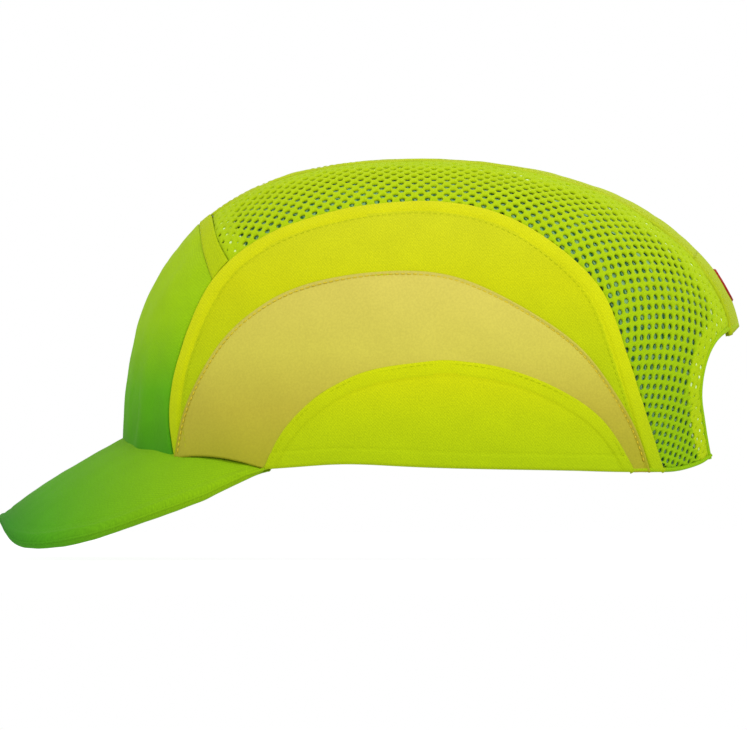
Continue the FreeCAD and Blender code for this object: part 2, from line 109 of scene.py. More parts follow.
def smooth_at(places, values, wanted):
    """The smooth line through values at some places, read at the wanted ones."""
    places, values = np.array(places, float), np.array(values, float)
    if values.ndim == 1:
        return smooth_at(places, values[:, None], wanted)[..., 0]
    steps = np.diff(places)
    bends = natural_bends(steps, values)
    wanted = np.asarray(wanted, float)
    i = np.clip(np.searchsorted(places, wanted, side="right") - 1, 0, len(places) - 2)
    a = ((places[i + 1] - wanted) / steps[i])[..., None]
    b = 1 - a
    k = (steps[i] ** 2)[..., None] / 6
    return a * values[i] + b * values[i + 1] + ((a ** 3 - a) * bends[i] + (b ** 3 - b) * bends[i + 1]) * k


def smooth_line(points, count):
    """Points along the smooth line through some points."""
    points = np.array(points, float)
    run = np.concatenate([[0], np.cumsum(np.linalg.norm(np.diff(points, axis=0), axis=1))])
    return smooth_at(run, points, np.linspace(0, run[-1], count))


def even(points, count):
    """A polyline's points spread evenly along it."""
    run = np.concatenate([[0], np.cumsum(np.linalg.norm(np.diff(points, axis=0), axis=1))])
    wanted = np.linspace(0, run[-1], count)
    return np.stack([np.interp(wanted, run, points[:, k]) for k in range(points.shape[1])], axis=1)


def plan_at(y, z):
    """Half width of the crown at a place seen from the side, or 0 outside it."""
    share = np.clip(z, 0, CROWN_HEIGHT * 0.999999) / CROWN_HEIGHT
    level = np.degrees(np.arcsin(share)) / STATION_STEP
    stations = np.arange(len(FRONT_REACH))
    front, rear = smooth_at(stations, FRONT_REACH, level), smooth_at(stations, REAR_REACH, level)
    half_width = CROWN_HALF_WIDTH * (1 - share ** CROWN_SHOULDER) ** (1 / CROWN_SHOULDER)
    along = np.clip((2 * y - front - rear) / np.maximum(rear - front, 1e-6), -1.2, 1.2)
    power = PLAN_SQUARENESS - PLAN_EGG * along
    rest = np.clip(1 - np.abs(along) ** power, 0, None)
    return np.where(z < CROWN_HEIGHT, half_width * rest ** (1 / power), 0.0)


def outermost(start, direction, far=260.0, steps=28):
    """How far a ray from inside the crown runs until it leaves the skin."""
    low, high = np.full(direction.shape[:-1], 5.0), np.full(direction.shape[:-1], far)
    for _ in range(steps):
        middle = (low + high) / 2
        p = start + direction * middle[..., None]
        inside = np.abs(p[..., 0]) < plan_at(p[..., 1], p[..., 2])
        low, high = np.where(inside, middle, low), np.where(inside, high, middle)
    return start + direction * low[..., None]


def fan_point(fan, arch):
    """The skin's point at two angles in degrees: front to back, and side to side."""
    f, a = np.radians(fan), np.radians(arch)
    direction = np.stack([np.sin(a), np.cos(a) * np.cos(f), np.cos(a) * np.sin(f)], axis=-1)
    return outermost(np.array([0.0, 0.0, -FAN_DEPTH]), direction)


def wall_point(turn, height):
    """The skin's point at an angle round the cap from its front, at a height."""
    t = np.radians(turn)
    direction = np.stack([np.sin(t), -np.cos(t), np.zeros_like(t)], axis=-1)
    start = np.stack([np.zeros_like(height), np.zeros_like(height), height], axis=-1)
    return outermost(start, direction)


def outward(point_at, u, v, nudge):
    """Unit normals of a surface that points away from the middle of the head."""
    across = point_at(u + nudge, v) - point_at(u - nudge, v)
    along = point_at(u, v + nudge) - point_at(u, v - nudge)
    normal = np.cross(across, along)
    normal /= np.maximum(np.linalg.norm(normal, axis=-1, keepdims=True), 1e-9)
    away = point_at(u, v) - np.array([0, 0, 20.0])
    return normal * np.sign((normal * away).sum(-1, keepdims=True) + 1e-12)


def on_skin(fan, arch, lift=0.0):
    normal = outward(fan_point, fan, arch, 0.3)
    return fan_point(fan, arch) + normal * np.asarray(lift)[..., None]


def on_wall(turn, height, lift=0.0):
    normal = outward(wall_point, turn, height, 0.5)
    return wall_point(turn, height) + normal * np.asarray(lift)[..., None]


def to_angles(points):
    """Fan and arch angles of points in space."""
    up = points[..., 2] + FAN_DEPTH
    fan = np.degrees(np.arctan2(up, points[..., 1]))
    return fan, np.degrees(np.arctan2(points[..., 0], np.hypot(points[..., 1], up)))


def on_side(line, sign=1.0):
    """Side view points moved out to the skin."""
    return np.stack([sign * plan_at(line[:, 0], line[:, 1]), line[:, 0], line[:, 1]], axis=1)


def side_seam(points, count):
    """Angles of a seam on the left side."""
    return to_angles(even(on_side(smooth_line(points, 900)), count))


def crossing_seam(points, count):
    """Angles of a seam that runs over the crown from the right side to the left."""
    left = on_side(smooth_line(points, 3000))
    left = left[left[:, 0] > 0.05]
    right = left[::-1] * np.array([-1, 1, 1])
    return to_angles(even(np.concatenate([right, left]), count))


def strip_edge(fans):
    """Arch angle of the centre strip's left edge."""
    arch = np.full_like(fans, 6.0)
    widths = np.array(CENTRE_STRIP)
    for _ in range(8):
        p = fan_point(fans, arch)
        arch = arch + np.degrees((np.interp(p[:, 1], widths[:, 0], widths[:, 1]) - p[:, 0]) / 160.0)
    return arch


def ripple(points, wavelength, seed, count=7):
    """A soft irregular wave, about -1 to 1."""
    draw = np.random.RandomState(seed)
    total = np.zeros(points.shape[:-1])
    for _ in range(count):
        direction = draw.normal(size=3)
        direction /= np.linalg.norm(direction)
        speed = 2 * math.pi / (wavelength * draw.uniform(0.7, 1.5))
        total += np.sin(points @ direction * speed + draw.uniform(0, 6.28))
    return total / math.sqrt(count)


def hump(distance, middle, width):
    """A bell of height 1."""
    return np.exp(-((distance - middle) / width) ** 2)


def rolled(distance, radius, depth):
    """How far a cloth's edge turns under, near its end."""
    near = np.clip(1 - distance / radius, 0, 1)
    return -depth * (1 - np.sqrt(np.clip(1 - near ** 2, 0, 1)))


# ---------------------------------------------------------------- making pieces
def finished(name, bm, material, body, replaces=(), smooth=True):
    """Turns a bmesh into a piece that rides on a body."""
    mesh = bpy.data.meshes.new(name)
    bm.to_mesh(mesh)
    bm.free()
    piece = bpy.data.objects.new(name, mesh)
    bpy.context.scene.collection.objects.link(piece)
    mesh.materials.append(material)
    if smooth:
        mesh.polygons.foreach_set("use_smooth", np.ones(len(mesh.polygons), bool))
    if body:
        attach(piece, body)
    if replaces:
        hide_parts(*replaces)
    return piece


def warp(piece, place, uv_of=None):
    """Moves a flat piece's points to their place.

    Its flat coordinates, or uv_of them, become its UV map, in mm.
    """
    mesh = piece.data
    flat = np.empty(len(mesh.vertices) * 3)
    mesh.vertices.foreach_get("co", flat)
    flat = flat.reshape(-1, 3)
    placed = place(flat[:, 0], flat[:, 1], flat[:, 2])
    mesh.vertices.foreach_set("co", (placed * MM).ravel())
    uv = uv_of(flat, placed) if uv_of else flat[:, :2]
    corners = np.empty(len(mesh.loops), int)
    mesh.loops.foreach_get("vertex_index", corners)
    layer = mesh.uv_layers.new(name="cloth")
    layer.data.foreach_set("uv", (uv[corners] * 0.01).astype(np.float32).ravel())
    mesh.update()
    return placed


def face_out(piece, centre=(0, 0, 0.02)):
    """Turns an open sheet so that its faces look away from a point."""
    total = 0.0
    for polygon in piece.data.polygons:
        total += polygon.area * polygon.normal.dot(polygon.center - Vector(centre))
    if total < 0:
        piece.data.flip_normals()
    return piece


def unit_grid(columns, rows):
    """A flat grid over 0 to 1 both ways."""
    bm = bmesh.new()
    bmesh.ops.create_grid(bm, x_segments=columns, y_segments=rows, size=0.5)
    bmesh.ops.translate(bm, verts=bm.verts, vec=(0.5, 0.5, 0))
    return bm


def thick(piece, thickness, levels=0):
    """Gives a sheet its thickness on its inner side."""
    wall = piece.modifiers.new("Thickness", "SOLIDIFY")
    wall.thickness, wall.offset = thickness * MM, -1.0
    if levels:
        soften(piece, levels)
    return piece


def soften(piece, levels):
    soft = piece.modifiers.new("Soft", "SUBSURF")
    soft.levels = soft.render_levels = levels
    return piece


def between(edge_a, edge_b, u, v):
    """Angles on a strip between two seams, and how far across it a point is, in mm."""
    count = len(edge_a[0])
    at = u * (count - 1)
    grid = np.arange(count)
    fan_a, arch_a = np.interp(at, grid, edge_a[0]), np.interp(at, grid, edge_a[1])
    fan_b, arch_b = np.interp(at, grid, edge_b[0]), np.interp(at, grid, edge_b[1])
    width = np.linalg.norm(fan_point(fan_a, arch_a) - fan_point(fan_b, arch_b), axis=-1)
    return fan_a + (fan_b - fan_a) * v, arch_a + (arch_b - arch_a) * v, width


def strip_piece(name, edge_a, edge_b, size, lift, material, replaces, sign=1.0, thickness=0.9,
                uv=None):
    """A cloth strip between two seams. lift(points, from_a, from_b, u) is its height over the skin."""
    piece = finished(name, unit_grid(*size), material, None, replaces)

    def place(u, v, _):
        fan, arch, width = between(edge_a, edge_b, u, v)
        base = fan_point(fan, arch)
        return on_skin(fan, arch, lift(base, v * width, (1 - v) * width, u)) * np.array([sign, 1, 1])

    warp(piece, place, uv or (lambda flat, p: p[:, 1:3]))
    face_out(piece)
    thick(piece, thickness)
    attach(piece, "cover")
    return piece


def patch_piece(name, bottom, top, left, right, size, lift, material, replaces, thickness=0.9,
                uv=None, sign=1.0):
    """A cloth patch between four seams, each a pair of angle lists."""
    piece = finished(name, unit_grid(*size), material, None, replaces)

    def read(seam, t):
        grid = np.linspace(0, 1, len(seam[0]))
        return np.stack([np.interp(t, grid, seam[0]), np.interp(t, grid, seam[1])], axis=-1)

    def place(u, v, _):
        b, t, l, r = read(bottom, u), read(top, u), read(left, v), read(right, v)
        c00, c10, c01, c11 = (read(s, np.array([e]))[0] for s,
                              e in ((bottom, 0), (bottom, 1), (top, 0), (top, 1)))
        uu, vv = u[:, None], v[:, None]
        corners = (c00 * (1 - uu) + c10 * uu) * (1 - vv) + (c01 * (1 - uu) + c11 * uu) * vv
        angles = b * (1 - vv) + t * vv + l * (1 - uu) + r * uu - corners
        base = fan_point(angles[:, 0], angles[:, 1])
        return on_skin(angles[:, 0], angles[:, 1], lift(base, u, v)) * np.array([sign, 1, 1])

    warp(piece, place, uv or (lambda flat, p: p[:, (0, 2)]))
    face_out(piece)
    if thickness:
        thick(piece, thickness)
    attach(piece, "cover")
    return piece


def sweep_piece(name, path, across, up, profile, material, body, replaces=(), closed=True,
                uv_scale=1.0):
    """A profile drawn along a path.

    across and up are the profile's two directions at each point of the path.
    """
    count = len(path)
    ring = np.array(profile, float)
    if closed:
        ring = np.concatenate([ring, ring[:1]])
    around = np.concatenate([[0], np.cumsum(np.linalg.norm(np.diff(ring, axis=0), axis=1))])
    run = np.concatenate([[0], np.cumsum(np.linalg.norm(np.diff(path, axis=0), axis=1))])
    piece = finished(name, unit_grid(count - 1, len(ring) - 1), material, None, replaces)

    def place(u, v, _):
        i = np.rint(u * (count - 1)).astype(int)
        j = np.rint(v * (len(ring) - 1)).astype(int)
        return path[i] + across[i] * ring[j, :1] + up[i] * ring[j, 1:]

    def uv(flat, _):
        i = np.rint(flat[:, 0] * (count - 1)).astype(int)
        j = np.rint(flat[:, 1] * (len(ring) - 1)).astype(int)
        return np.stack([run[i], around[j]], axis=1) * uv_scale

    warp(piece, place, uv)
    bm = bmesh.new()
    bm.from_mesh(piece.data)
    bmesh.ops.remove_doubles(bm, verts=bm.verts, dist=1e-7)
    if closed:
        bmesh.ops.holes_fill(bm, edges=[e for e in bm.edges if e.is_boundary], sides=0)
    bmesh.ops.recalc_face_normals(bm, faces=bm.faces)
    bm.to_mesh(piece.data)
    bm.free()
    if body:
        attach(piece, body)
    return piece


STITCH_FREE = 2.4               # no stitches this close to the end of a row


def stitch_row(bm, points, normals, length=2.0, gap=0.7, radius=0.22, lift=0.1):
    """A row of running stitches on a line of points."""
    run = np.concatenate([[0], np.cumsum(np.linalg.norm(np.diff(points, axis=0), axis=1))])
    for start in np.arange(STITCH_FREE, run[-1] - length - STITCH_FREE, length + gap):
        ends = [np.array([np.interp(s, run,
                                    points[:, k]) for k in range(3)]) for s in (start, start + length)]
        normal = np.array([np.interp(start + length / 2, run, normals[:, k]) for k in range(3)])
        forward = Vector(ends[1] - ends[0]).normalized()
        out = Vector(normal).normalized()
        side = out.cross(forward).normalized()
        out = forward.cross(side)
        middle = Vector((ends[0] + ends[1]) / 2) + out * lift
        turn = Matrix((forward, side, out)).transposed().to_4x4()
        size = Matrix.Diagonal((length / 2, radius, radius * 0.8, 1.0))
        bmesh.ops.create_icosphere(bm, subdivisions=1, radius=1.0,
                                   matrix=Matrix.Scale(MM, 4) @ Matrix.Translation(middle) @ turn @ size)


def seam_points(edge, inset, lift, count=400, sign=1.0, toward=None):
    """Points and normals of a line that follows a seam, a distance inside it."""
    fan, arch = (np.interp(np.linspace(0, 1, count), np.linspace(0, 1, len(e)), e) for e in edge)
    points = fan_point(fan, arch)
    normals = outward(fan_point, fan, arch, 0.3)
    along = np.gradient(points, axis=0)
    along /= np.linalg.norm(along, axis=1, keepdims=True)
    inner = np.cross(normals, along)
    aim = np.array(toward if toward is not None else (0, 0, -20.0)) - points
    inner *= np.sign((inner * aim).sum(1).mean())
    placed = points + inner * inset + normals * lift
    flip = np.array([sign, 1, 1])
    return placed * flip, normals * flip


# ---------------------------------------------------------------- materials
def colour(text):
    """An sRGB hex colour as linear RGBA."""
    parts = [int(text[i:i + 2], 16) / 255 for i in (1, 3, 5)]
    return [c / 12.92 if c <= 0.04045 else ((c + 0.055) / 1.055) ** 2.4 for c in parts] + [1.0]


def add(tree, kind, links=None, **settings):
    """Adds a node. links maps an input to a value or to another node's output."""
    made = tree.nodes.new(kind)
    for key, value in settings.items():
        setattr(made, key, value)
    for key, value in (links or {}).items():
        if isinstance(value, bpy.types.NodeSocket):
            tree.links.new(value, made.inputs[key])
        else:
            made.inputs[key].default_value = value
    return made


def ramp(tree, factor, stops):
    made = add(tree, "ShaderNodeValToRGB", {"Fac": factor})
    elements = made.color_ramp.elements
    while len(elements) < len(stops):
        elements.new(0.5)
    for element, (place, value) in zip(elements, stops):
        element.position, element.color = place, colour(value)
    return made.outputs["Color"]


def mixed(tree, factor, a, b, blend="MIX"):
    made = add(tree, "ShaderNodeMix", {0: factor, 6: a, 7: b}, data_type="RGBA", blend_type=blend)
    return made.outputs[2]


def new_material(name, **sockets):
    """A material with a plain shader, whose uniform values are set on its own sockets."""
    material = bpy.data.materials.new(name)
    material.use_nodes = True
    tree = material.node_tree
    shader = tree.nodes["Principled BSDF"]
    for key, value in sockets.items():
        shader.inputs[key.replace("_", " ")].default_value = value
    return material, tree, shader


def fade(tree, axis, low, high):
    """0 to 1 along an axis of the cap, in mm."""
    where = add(tree, "ShaderNodeTexCoord").outputs["Object"]
    split = add(tree, "ShaderNodeSeparateXYZ", {0: where}).outputs[axis]
    return add(tree, "ShaderNodeMapRange",
               {"Value": split, "From Min": low * MM, "From Max": high * MM}).outputs[0]


def bands(tree, vector, period, distortion=0.0, profile="SIN"):
    """Parallel bands a number of mm apart on a UV map in units of 100 mm."""
    return add(tree, "ShaderNodeTexWave", {"Vector": vector, "Scale": 0.314159 / (period * 0.01),
                                           "Distortion": distortion, "Detail": 1.0, "Detail Scale": 1.5},
               wave_type="BANDS", bands_direction="X", wave_profile=profile).outputs["Fac"]


def woven(name, stops, span, pitch=0.8, angle=50.0, contrast=0.07, relief=0.07, sheen=0.04, roughness=0.9,
          axis="Z"):
    """Polyester twill, woven and brushed: diagonal ribs, a soft sheen, and a little slub in the yarn."""
    material, tree, shader = new_material(name, Roughness=roughness, Sheen_Weight=sheen,
                                          Sheen_Roughness=0.5,
                                          Specular_IOR_Level=0.12)
    shader.inputs["Sheen Tint"].default_value = colour("#E8F060")
    uv = add(tree, "ShaderNodeTexCoord").outputs["UV"]
    turned = add(tree, "ShaderNodeMapping",
                 {"Vector": uv, "Rotation": (0, 0, math.radians(angle))}).outputs[0]
    ribs = bands(tree, turned, pitch, 1.2)
    cross = add(tree, "ShaderNodeMapping",
                {"Vector": uv, "Rotation": (0, 0, math.radians(angle + 78))}).outputs[0]
    picks = bands(tree, cross, pitch * 0.8, 1.0)
    slub = add(tree, "ShaderNodeTexNoise",
               {"Vector": uv, "Scale": 9.0, "Detail": 6.0, "Roughness": 0.65}).outputs[0]
    # painted shade: the stops run along one axis of the cap, so each cloth is painted darker where less
    # light falls on it
    base = ramp(tree, fade(tree, axis, *span), stops)
    mottled = mixed(tree, 0.12, base, ramp(tree, slub, [(0.3, "#A8A8A8"), (0.7, "#FFFFFF")]), "MULTIPLY")
    thread = add(tree, "ShaderNodeMath", {0: ribs, 1: picks}, operation="MULTIPLY").outputs[0]
    dark = ramp(tree, thread, [(0.0, "#8C9460"), (0.6, "#FFFFFF")])
    toned = mixed(tree, contrast * 2.4, mottled, dark, "MULTIPLY")
    fibre = add(tree, "ShaderNodeTexNoise", {"Vector": uv, "Scale": 170.0, "Detail": 2.0}).outputs[0]
    fuzz = ramp(tree, fibre, [(0.38, "#B0C078"), (0.62, "#FFFFFF")])
    tree.links.new(mixed(tree, 0.22, toned, fuzz, "MULTIPLY"), shader.inputs["Base Color"])
    height = add(tree, "ShaderNodeMath", {0: thread, 1: slub}, operation="ADD").outputs[0]
    bump = add(tree, "ShaderNodeBump", {"Height": height, "Strength": 0.7, "Distance": relief * MM})
    tree.links.new(bump.outputs[0], shader.inputs["Normal"])
    return material


def grained(name, hexes, grain, relief, **sockets):
    """Moulded or foamed plastic: a fine grain and a slight unevenness of tone."""
    material, tree, shader = new_material(name, **sockets)
    where = add(tree, "ShaderNodeTexCoord").outputs["Object"]
    fine = add(tree, "ShaderNodeTexNoise",
               {"Vector": where, "Scale": 1000 / grain, "Detail": 3.0}).outputs[0]
    broad = add(tree, "ShaderNodeTexNoise", {"Vector": where, "Scale": 40.0, "Detail": 4.0}).outputs[0]
    tree.links.new(ramp(tree, broad, [(0.3, hexes[0]), (0.7, hexes[1])]), shader.inputs["Base Color"])
    bump = add(tree, "ShaderNodeBump", {"Height": fine, "Strength": 0.6, "Distance": relief * MM})
    tree.links.new(bump.outputs[0], shader.inputs["Normal"])
    return material


def knitted(name, light, dark, pitch, relief=0.15, roughness=0.9):
    """A knitted ground: crossing yarns with small dark gaps between them."""
    material, tree, shader = new_material(name, Roughness=roughness, Sheen_Weight=0.15,
                                          Specular_IOR_Level=0.2)
    uv = add(tree, "ShaderNodeTexCoord").outputs["UV"]
    made = []
    for angle in (35.0, -35.0):
        turned = add(tree, "ShaderNodeMapping",
                     {"Vector": uv, "Rotation": (0, 0, math.radians(angle))}).outputs[0]
        made.append(bands(tree, turned, pitch, 0.8))
    both = add(tree, "ShaderNodeMath", {0: made[0], 1: made[1]}, operation="MAXIMUM").outputs[0]
    tree.links.new(ramp(tree, both, [(0.45, dark), (0.95, light)]), shader.inputs["Base Color"])
    bump = add(tree, "ShaderNodeBump", {"Height": both, "Strength": 0.8, "Distance": relief * MM})
    tree.links.new(bump.outputs[0], shader.inputs["Normal"])
    return material


def speckled(name, ground, speck, size):
    """Mesh laid double over a pale tape: most holes show more yarn, and some show the tape."""
    material, tree, shader = new_material(name, Roughness=0.9, Specular_IOR_Level=0.12)
    where = add(tree, "ShaderNodeTexCoord").outputs["Object"]
    spots = add(tree, "ShaderNodeTexNoise",
                {"Vector": where, "Scale": 1000 / size, "Detail": 2.0}).outputs[0]
    tree.links.new(ramp(tree, spots, [(0.42, ground), (0.56, speck)]), shader.inputs["Base Color"])
    bump = add(tree, "ShaderNodeBump", {"Height": spots, "Strength": 0.5, "Distance": 0.2 * MM})
    tree.links.new(bump.outputs[0], shader.inputs["Normal"])
    return material


# painted shade: the front panel's hi-viz yellow turns dark green towards its bottom, as it faces away from
# the light
FRONT_STOPS = [(0.0, "#3C8C10"), (0.3, "#5CA80C"), (0.6, "#90BE02"), (1.0, "#A4C204")]
front_twill = woven("FluorescentTwillFront", FRONT_STOPS, (2.0, 88.0), angle=40.0)
# painted shade: the side panel is darker and greener low down and lighter at the top, where the light falls
side_twill = woven("FluorescentTwillSide",
                   [(0.0, "#9CBA00"), (0.35, "#AEC000"), (0.7, "#C0C402"), (1.0, "#C4C618")],
                   (0.0, 95.0), angle=135.0)
# painted shade: the crown strip is a little lighter towards the top of the crown
strip_twill = woven("FluorescentTwillCrown", [(0.0, "#A4B600"), (1.0, "#B4C424")], (40.0, 111.0), angle=0.0,
                    contrast=0.1)
# painted shade: the peak's yellow turns dark green towards its tip, which lies in shade
peak_twill = woven("FluorescentTwillPeak",
                   [(0.0, "#1C7A18"), (0.2, "#4A9812"), (0.6, "#74AA06"), (1.0, "#8CB400")],
                   (-156.0, -62.0), angle=30.0, axis="Y")
# painted shade: the mesh yarn is darker and greener low down and lighter towards the crown
mesh_yarn = woven("SpacerMeshYarn", [(0.0, "#88B400"), (0.5, "#9CBC00"), (1.0, "#ACC400")], (0.0, 105.0),
                  pitch=0.6,
                  angle=20.0, contrast=0.05)
# painted shade: the ground under the holes is a real layer, but its dark teal greens are the shade deep in
# the holes
mesh_ground = knitted("SpacerMeshGround", "#7AA672", "#226232", 1.4)
mesh_doubled = speckled("DoubledSpacerMesh", "#B8CE30", "#D8ECB0", 2.6)
double_yarn = woven("DoubledMeshYarn", [(0.0, "#ACC402"), (0.45, "#A6C202"), (1.0, "#A8C204")],
                    (0.0, 105.0), pitch=0.6,
                    angle=20.0, contrast=0.05)
# painted highlight: a lighter copy of the side twill for the raised folded rims, lighter still towards the
# top
rim_twill_highlight = woven("FluorescentTwillRimHighlight", [(0.0, "#A4BC00"), (0.4, "#C4CC00"), (1.0, "#CCCC0C")],
                  (0.0, 95.0), angle=135.0)
# painted shade: the lower panel is darker low down towards the hem and lighter at its top
lower_twill = woven("FluorescentTwillLower", [(0.0, "#A6BE00"), (0.45, "#B4C400"), (1.0, "#CACC00")],
                    (2.0, 38.0),
                    angle=135.0)
# painted shade: the seam tape is slightly lighter towards the top
front_tape = woven("FluorescentSeamTape", [(0.0, "#A4B800"), (1.0, "#AEC000")], (0.0, 95.0), pitch=0.6,
                   angle=90.0)
# painted shade: the strap webbing is slightly lighter towards the top
webbing = woven("StrapWebbing", [(0.0, "#1B1B1D"), (1.0, "#232326")], (0.0, 25.0), pitch=1.3, angle=0.0,
                sheen=0.1)
# painted shade: the hem tape is slightly lighter towards the top
lining = woven("LiningTape", [(0.0, "#17181A"), (1.0, "#1E1F21")], (0.0, 30.0), pitch=0.8, angle=45.0,
               sheen=0.1)
towelling = knitted("SweatbandTowelling", "#2B2C30", "#141517", 0.8, relief=0.3)
pile = knitted("HookAndLoopPile", "#1D1D20", "#0C0C0D", 0.7, relief=0.35)
foam = grained("ClosedCellFoam", ("#2A2B2E", "#36373B"), 0.5, 0.08, Roughness=0.8, Specular_IOR_Level=0.3)
abs_plastic = grained("MouldedAbs", ("#121315", "#191A1C"), 0.35, 0.05, Roughness=0.5,
                      Specular_IOR_Level=0.5)
ring_plastic = grained("MouldedAcetal", ("#101011", "#151516"), 0.4, 0.02, Roughness=0.32)
tab_rubber = grained("MouldedSoftRubber", ("#151516", "#1C1C1D"), 0.4, 0.05, Roughness=0.65)
stiffener = grained("PolyethyleneSheet", ("#D8D8D2", "#E2E2DC"), 0.6, 0.03, Roughness=0.5)
# painted shade: the label is slightly lighter towards the top
satin_label = woven("SatinLabel", [(0.0, "#D9D9D2"), (1.0, "#E4E4DE")], (0.0, 30.0), pitch=0.5, angle=0.0,
                    roughness=0.5)
# painted shade: the rear tab is lighter towards its top
patch_weave = woven("WovenPatch", [(0.0, "#8E1F1B"), (1.0, "#A32822")], (58.0, 72.0), pitch=0.6, angle=0.0)
thread_gold = grained("StitchThreadGold", ("#BAA400", "#CAB400"), 0.3, 0.05, Roughness=0.55)
thread_lime = grained("StitchThreadLime", ("#A8B800", "#B2C000"), 0.3, 0.05, Roughness=0.8,
                      Specular_IOR_Level=0.1)
thread_dark = grained("StitchThreadDark", ("#3A3C3E", "#4A4C50"), 0.3, 0.05, Roughness=0.6)
# partly the binding's own dark olive and partly painted shadow: the dark line under the rolled arch and hem
# edges, lighter towards the top
binding_and_shadow_line = woven("EdgeBindingAndShadow", [(0.0, "#4E5A14"), (1.0, "#5E6C18")], (0.0, 60.0), pitch=0.6, angle=20.0)


def reflective_tape():
    """Retroreflective tape: glass beads on cloth.

    They give a sandy silver tone with a soft sheen and fine speckle.
    """
    material, tree, shader = new_material("RetroreflectiveTape", Roughness=0.6, Metallic=0.1,
                                          Specular_IOR_Level=0.25)
    where = add(tree, "ShaderNodeTexCoord").outputs["Object"]
    beads = add(tree, "ShaderNodeTexNoise", {"Vector": where, "Scale": 1400.0, "Detail": 2.0}).outputs[0]
    broad = add(tree, "ShaderNodeTexNoise",
                {"Vector": where, "Scale": 55.0, "Detail": 5.0, "Roughness": 0.6}).outputs[0]
    # painted shade: the tape is darker and more olive low down and lighter towards the top
    along = ramp(tree, fade(tree, "Z", 0.0, 70.0),
                 [(0.0, "#9C9A10"), (0.3, "#ACA22C"), (0.6, "#BCB440"), (1.0, "#C0B44C")])
    toned = mixed(tree, 0.07, along, ramp(tree, broad, [(0.3, "#9C9568"), (0.7, "#FFFDE8")]), "MULTIPLY")
    final = mixed(tree, 0.14, toned, ramp(tree, beads, [(0.35, "#A8A080"), (0.65, "#FFFFFF")]), "MULTIPLY")
    tree.links.new(final, shader.inputs["Base Color"])
    bump = add(tree, "ShaderNodeBump", {"Height": beads, "Strength": 0.4, "Distance": 0.04 * MM})
    tree.links.new(bump.outputs[0], shader.inputs["Normal"])
    return material


tape = reflective_tape()

# ---------------------------------------------------------------- seams as angles on the skin
SAMPLES = 260
side_edge = side_seam(SIDE_PANEL_EDGE, SAMPLES)
band_edge = side_seam(BAND_EDGE, SAMPLES)
lower_edge = side_seam(LOWER_PANEL_EDGE, SAMPLES)
hem_under_lower = side_seam([p for p in HEM_SIDE if p[0] <= 72.5], SAMPLES)
strip_front = crossing_seam(STRIP_FRONT_EDGE, SAMPLES)
strip_rear = crossing_seam(STRIP_REAR_EDGE, SAMPLES)
arch_line = crossing_seam(ARCH_EDGE, SAMPLES)
centre_fans = np.linspace(strip_rear[0][SAMPLES // 2], arch_line[0][SAMPLES // 2], SAMPLES)
centre_edge = (centre_fans, strip_edge(centre_fans))


def mirrored_edge(edge):
    return edge[0], -edge[1]


# ---------------------------------------------------------------- side panels
def side_lift(base, from_edge, from_band, u):
    """A folded rim along the outer seam, then flat cloth with slight slack."""
    rim = 0.55 / (1 + np.exp((from_edge - 6.0) / 0.35))
    fold = -0.3 * hump(from_edge, 6.3, 0.5)
    return rim + fold + rolled(from_edge, 1.3, 1.0) + 0.18 * ripple(base, 22.0,
                                                                    3) + 0.06 * ripple(base, 8.0, 4)


def band_lift(base, from_edge, from_lower, u):
    """Tape with a stitched margin and soft wrinkles across it."""
    crease = np.clip(1 - np.abs(np.sin(base[..., 1] * 0.19 + base[...,
                                                                  2] * 0.26 + 1.6 * ripple(base, 30.0, 8))),
                                                                  0, 1) ** 4
    margin = np.clip(from_edge / 4.0, 0, 1) * np.clip(from_lower / 5.0, 0, 1)
    slack = 0.2 * ripple(base, 30.0, 5) + 0.03 * ripple(base, 9.0, 6) - 0.05 * crease
    rim = 0.45 * hump(from_edge, 0.6, 0.55) - 0.3 * hump(from_edge, 1.5, 0.4)
    return 0.5 + rolled(from_edge, 0.5, 0.5) + rim + slack * margin


def lower_lift(base, from_edge, from_hem, u):
    """A folded rim with a fold line, and a hem that turns under."""
    rim = 0.35 / (1 + np.exp((from_edge - 5.2) / 0.35))
    fold = -0.28 * hump(from_edge, 5.5, 0.45)
    hem = 0.2 / (1 + np.exp((from_hem - 6.0) / 0.4)) - 0.2 * hump(from_hem, 6.4, 0.5)
    return 0.75 + rim + fold + hem + rolled(from_edge, 1.2, 0.9) + rolled(from_hem, 1.4,
                                                                          1.2) + 0.14 * ripple(base, 20.0, 9)


def run_under(edge, reach):
    """A seam moved down under the next cloth by a few degrees, but not at its two ends."""
    place = np.arange(len(edge[0]))
    taper = np.clip(np.minimum(place, place[::-1]) / 16, 0, 1)
    return edge[0], edge[1] + reach * taper


def paint_rim(piece, edge, width, sign):
    """Gives the doubled rim along a panel's seam a lighter copy of its cloth: a painted highlight where the
    raised rim catches the light.
    """
    near_edge = nearness([edge])
    piece.data.materials.append(rim_twill_highlight)
    centres = np.array([polygon.center for polygon in piece.data.polygons]) / MM * np.array([sign, 1, 1])
    piece.data.polygons.foreach_set("material_index", (near_edge(centres) < width).astype(np.int32))


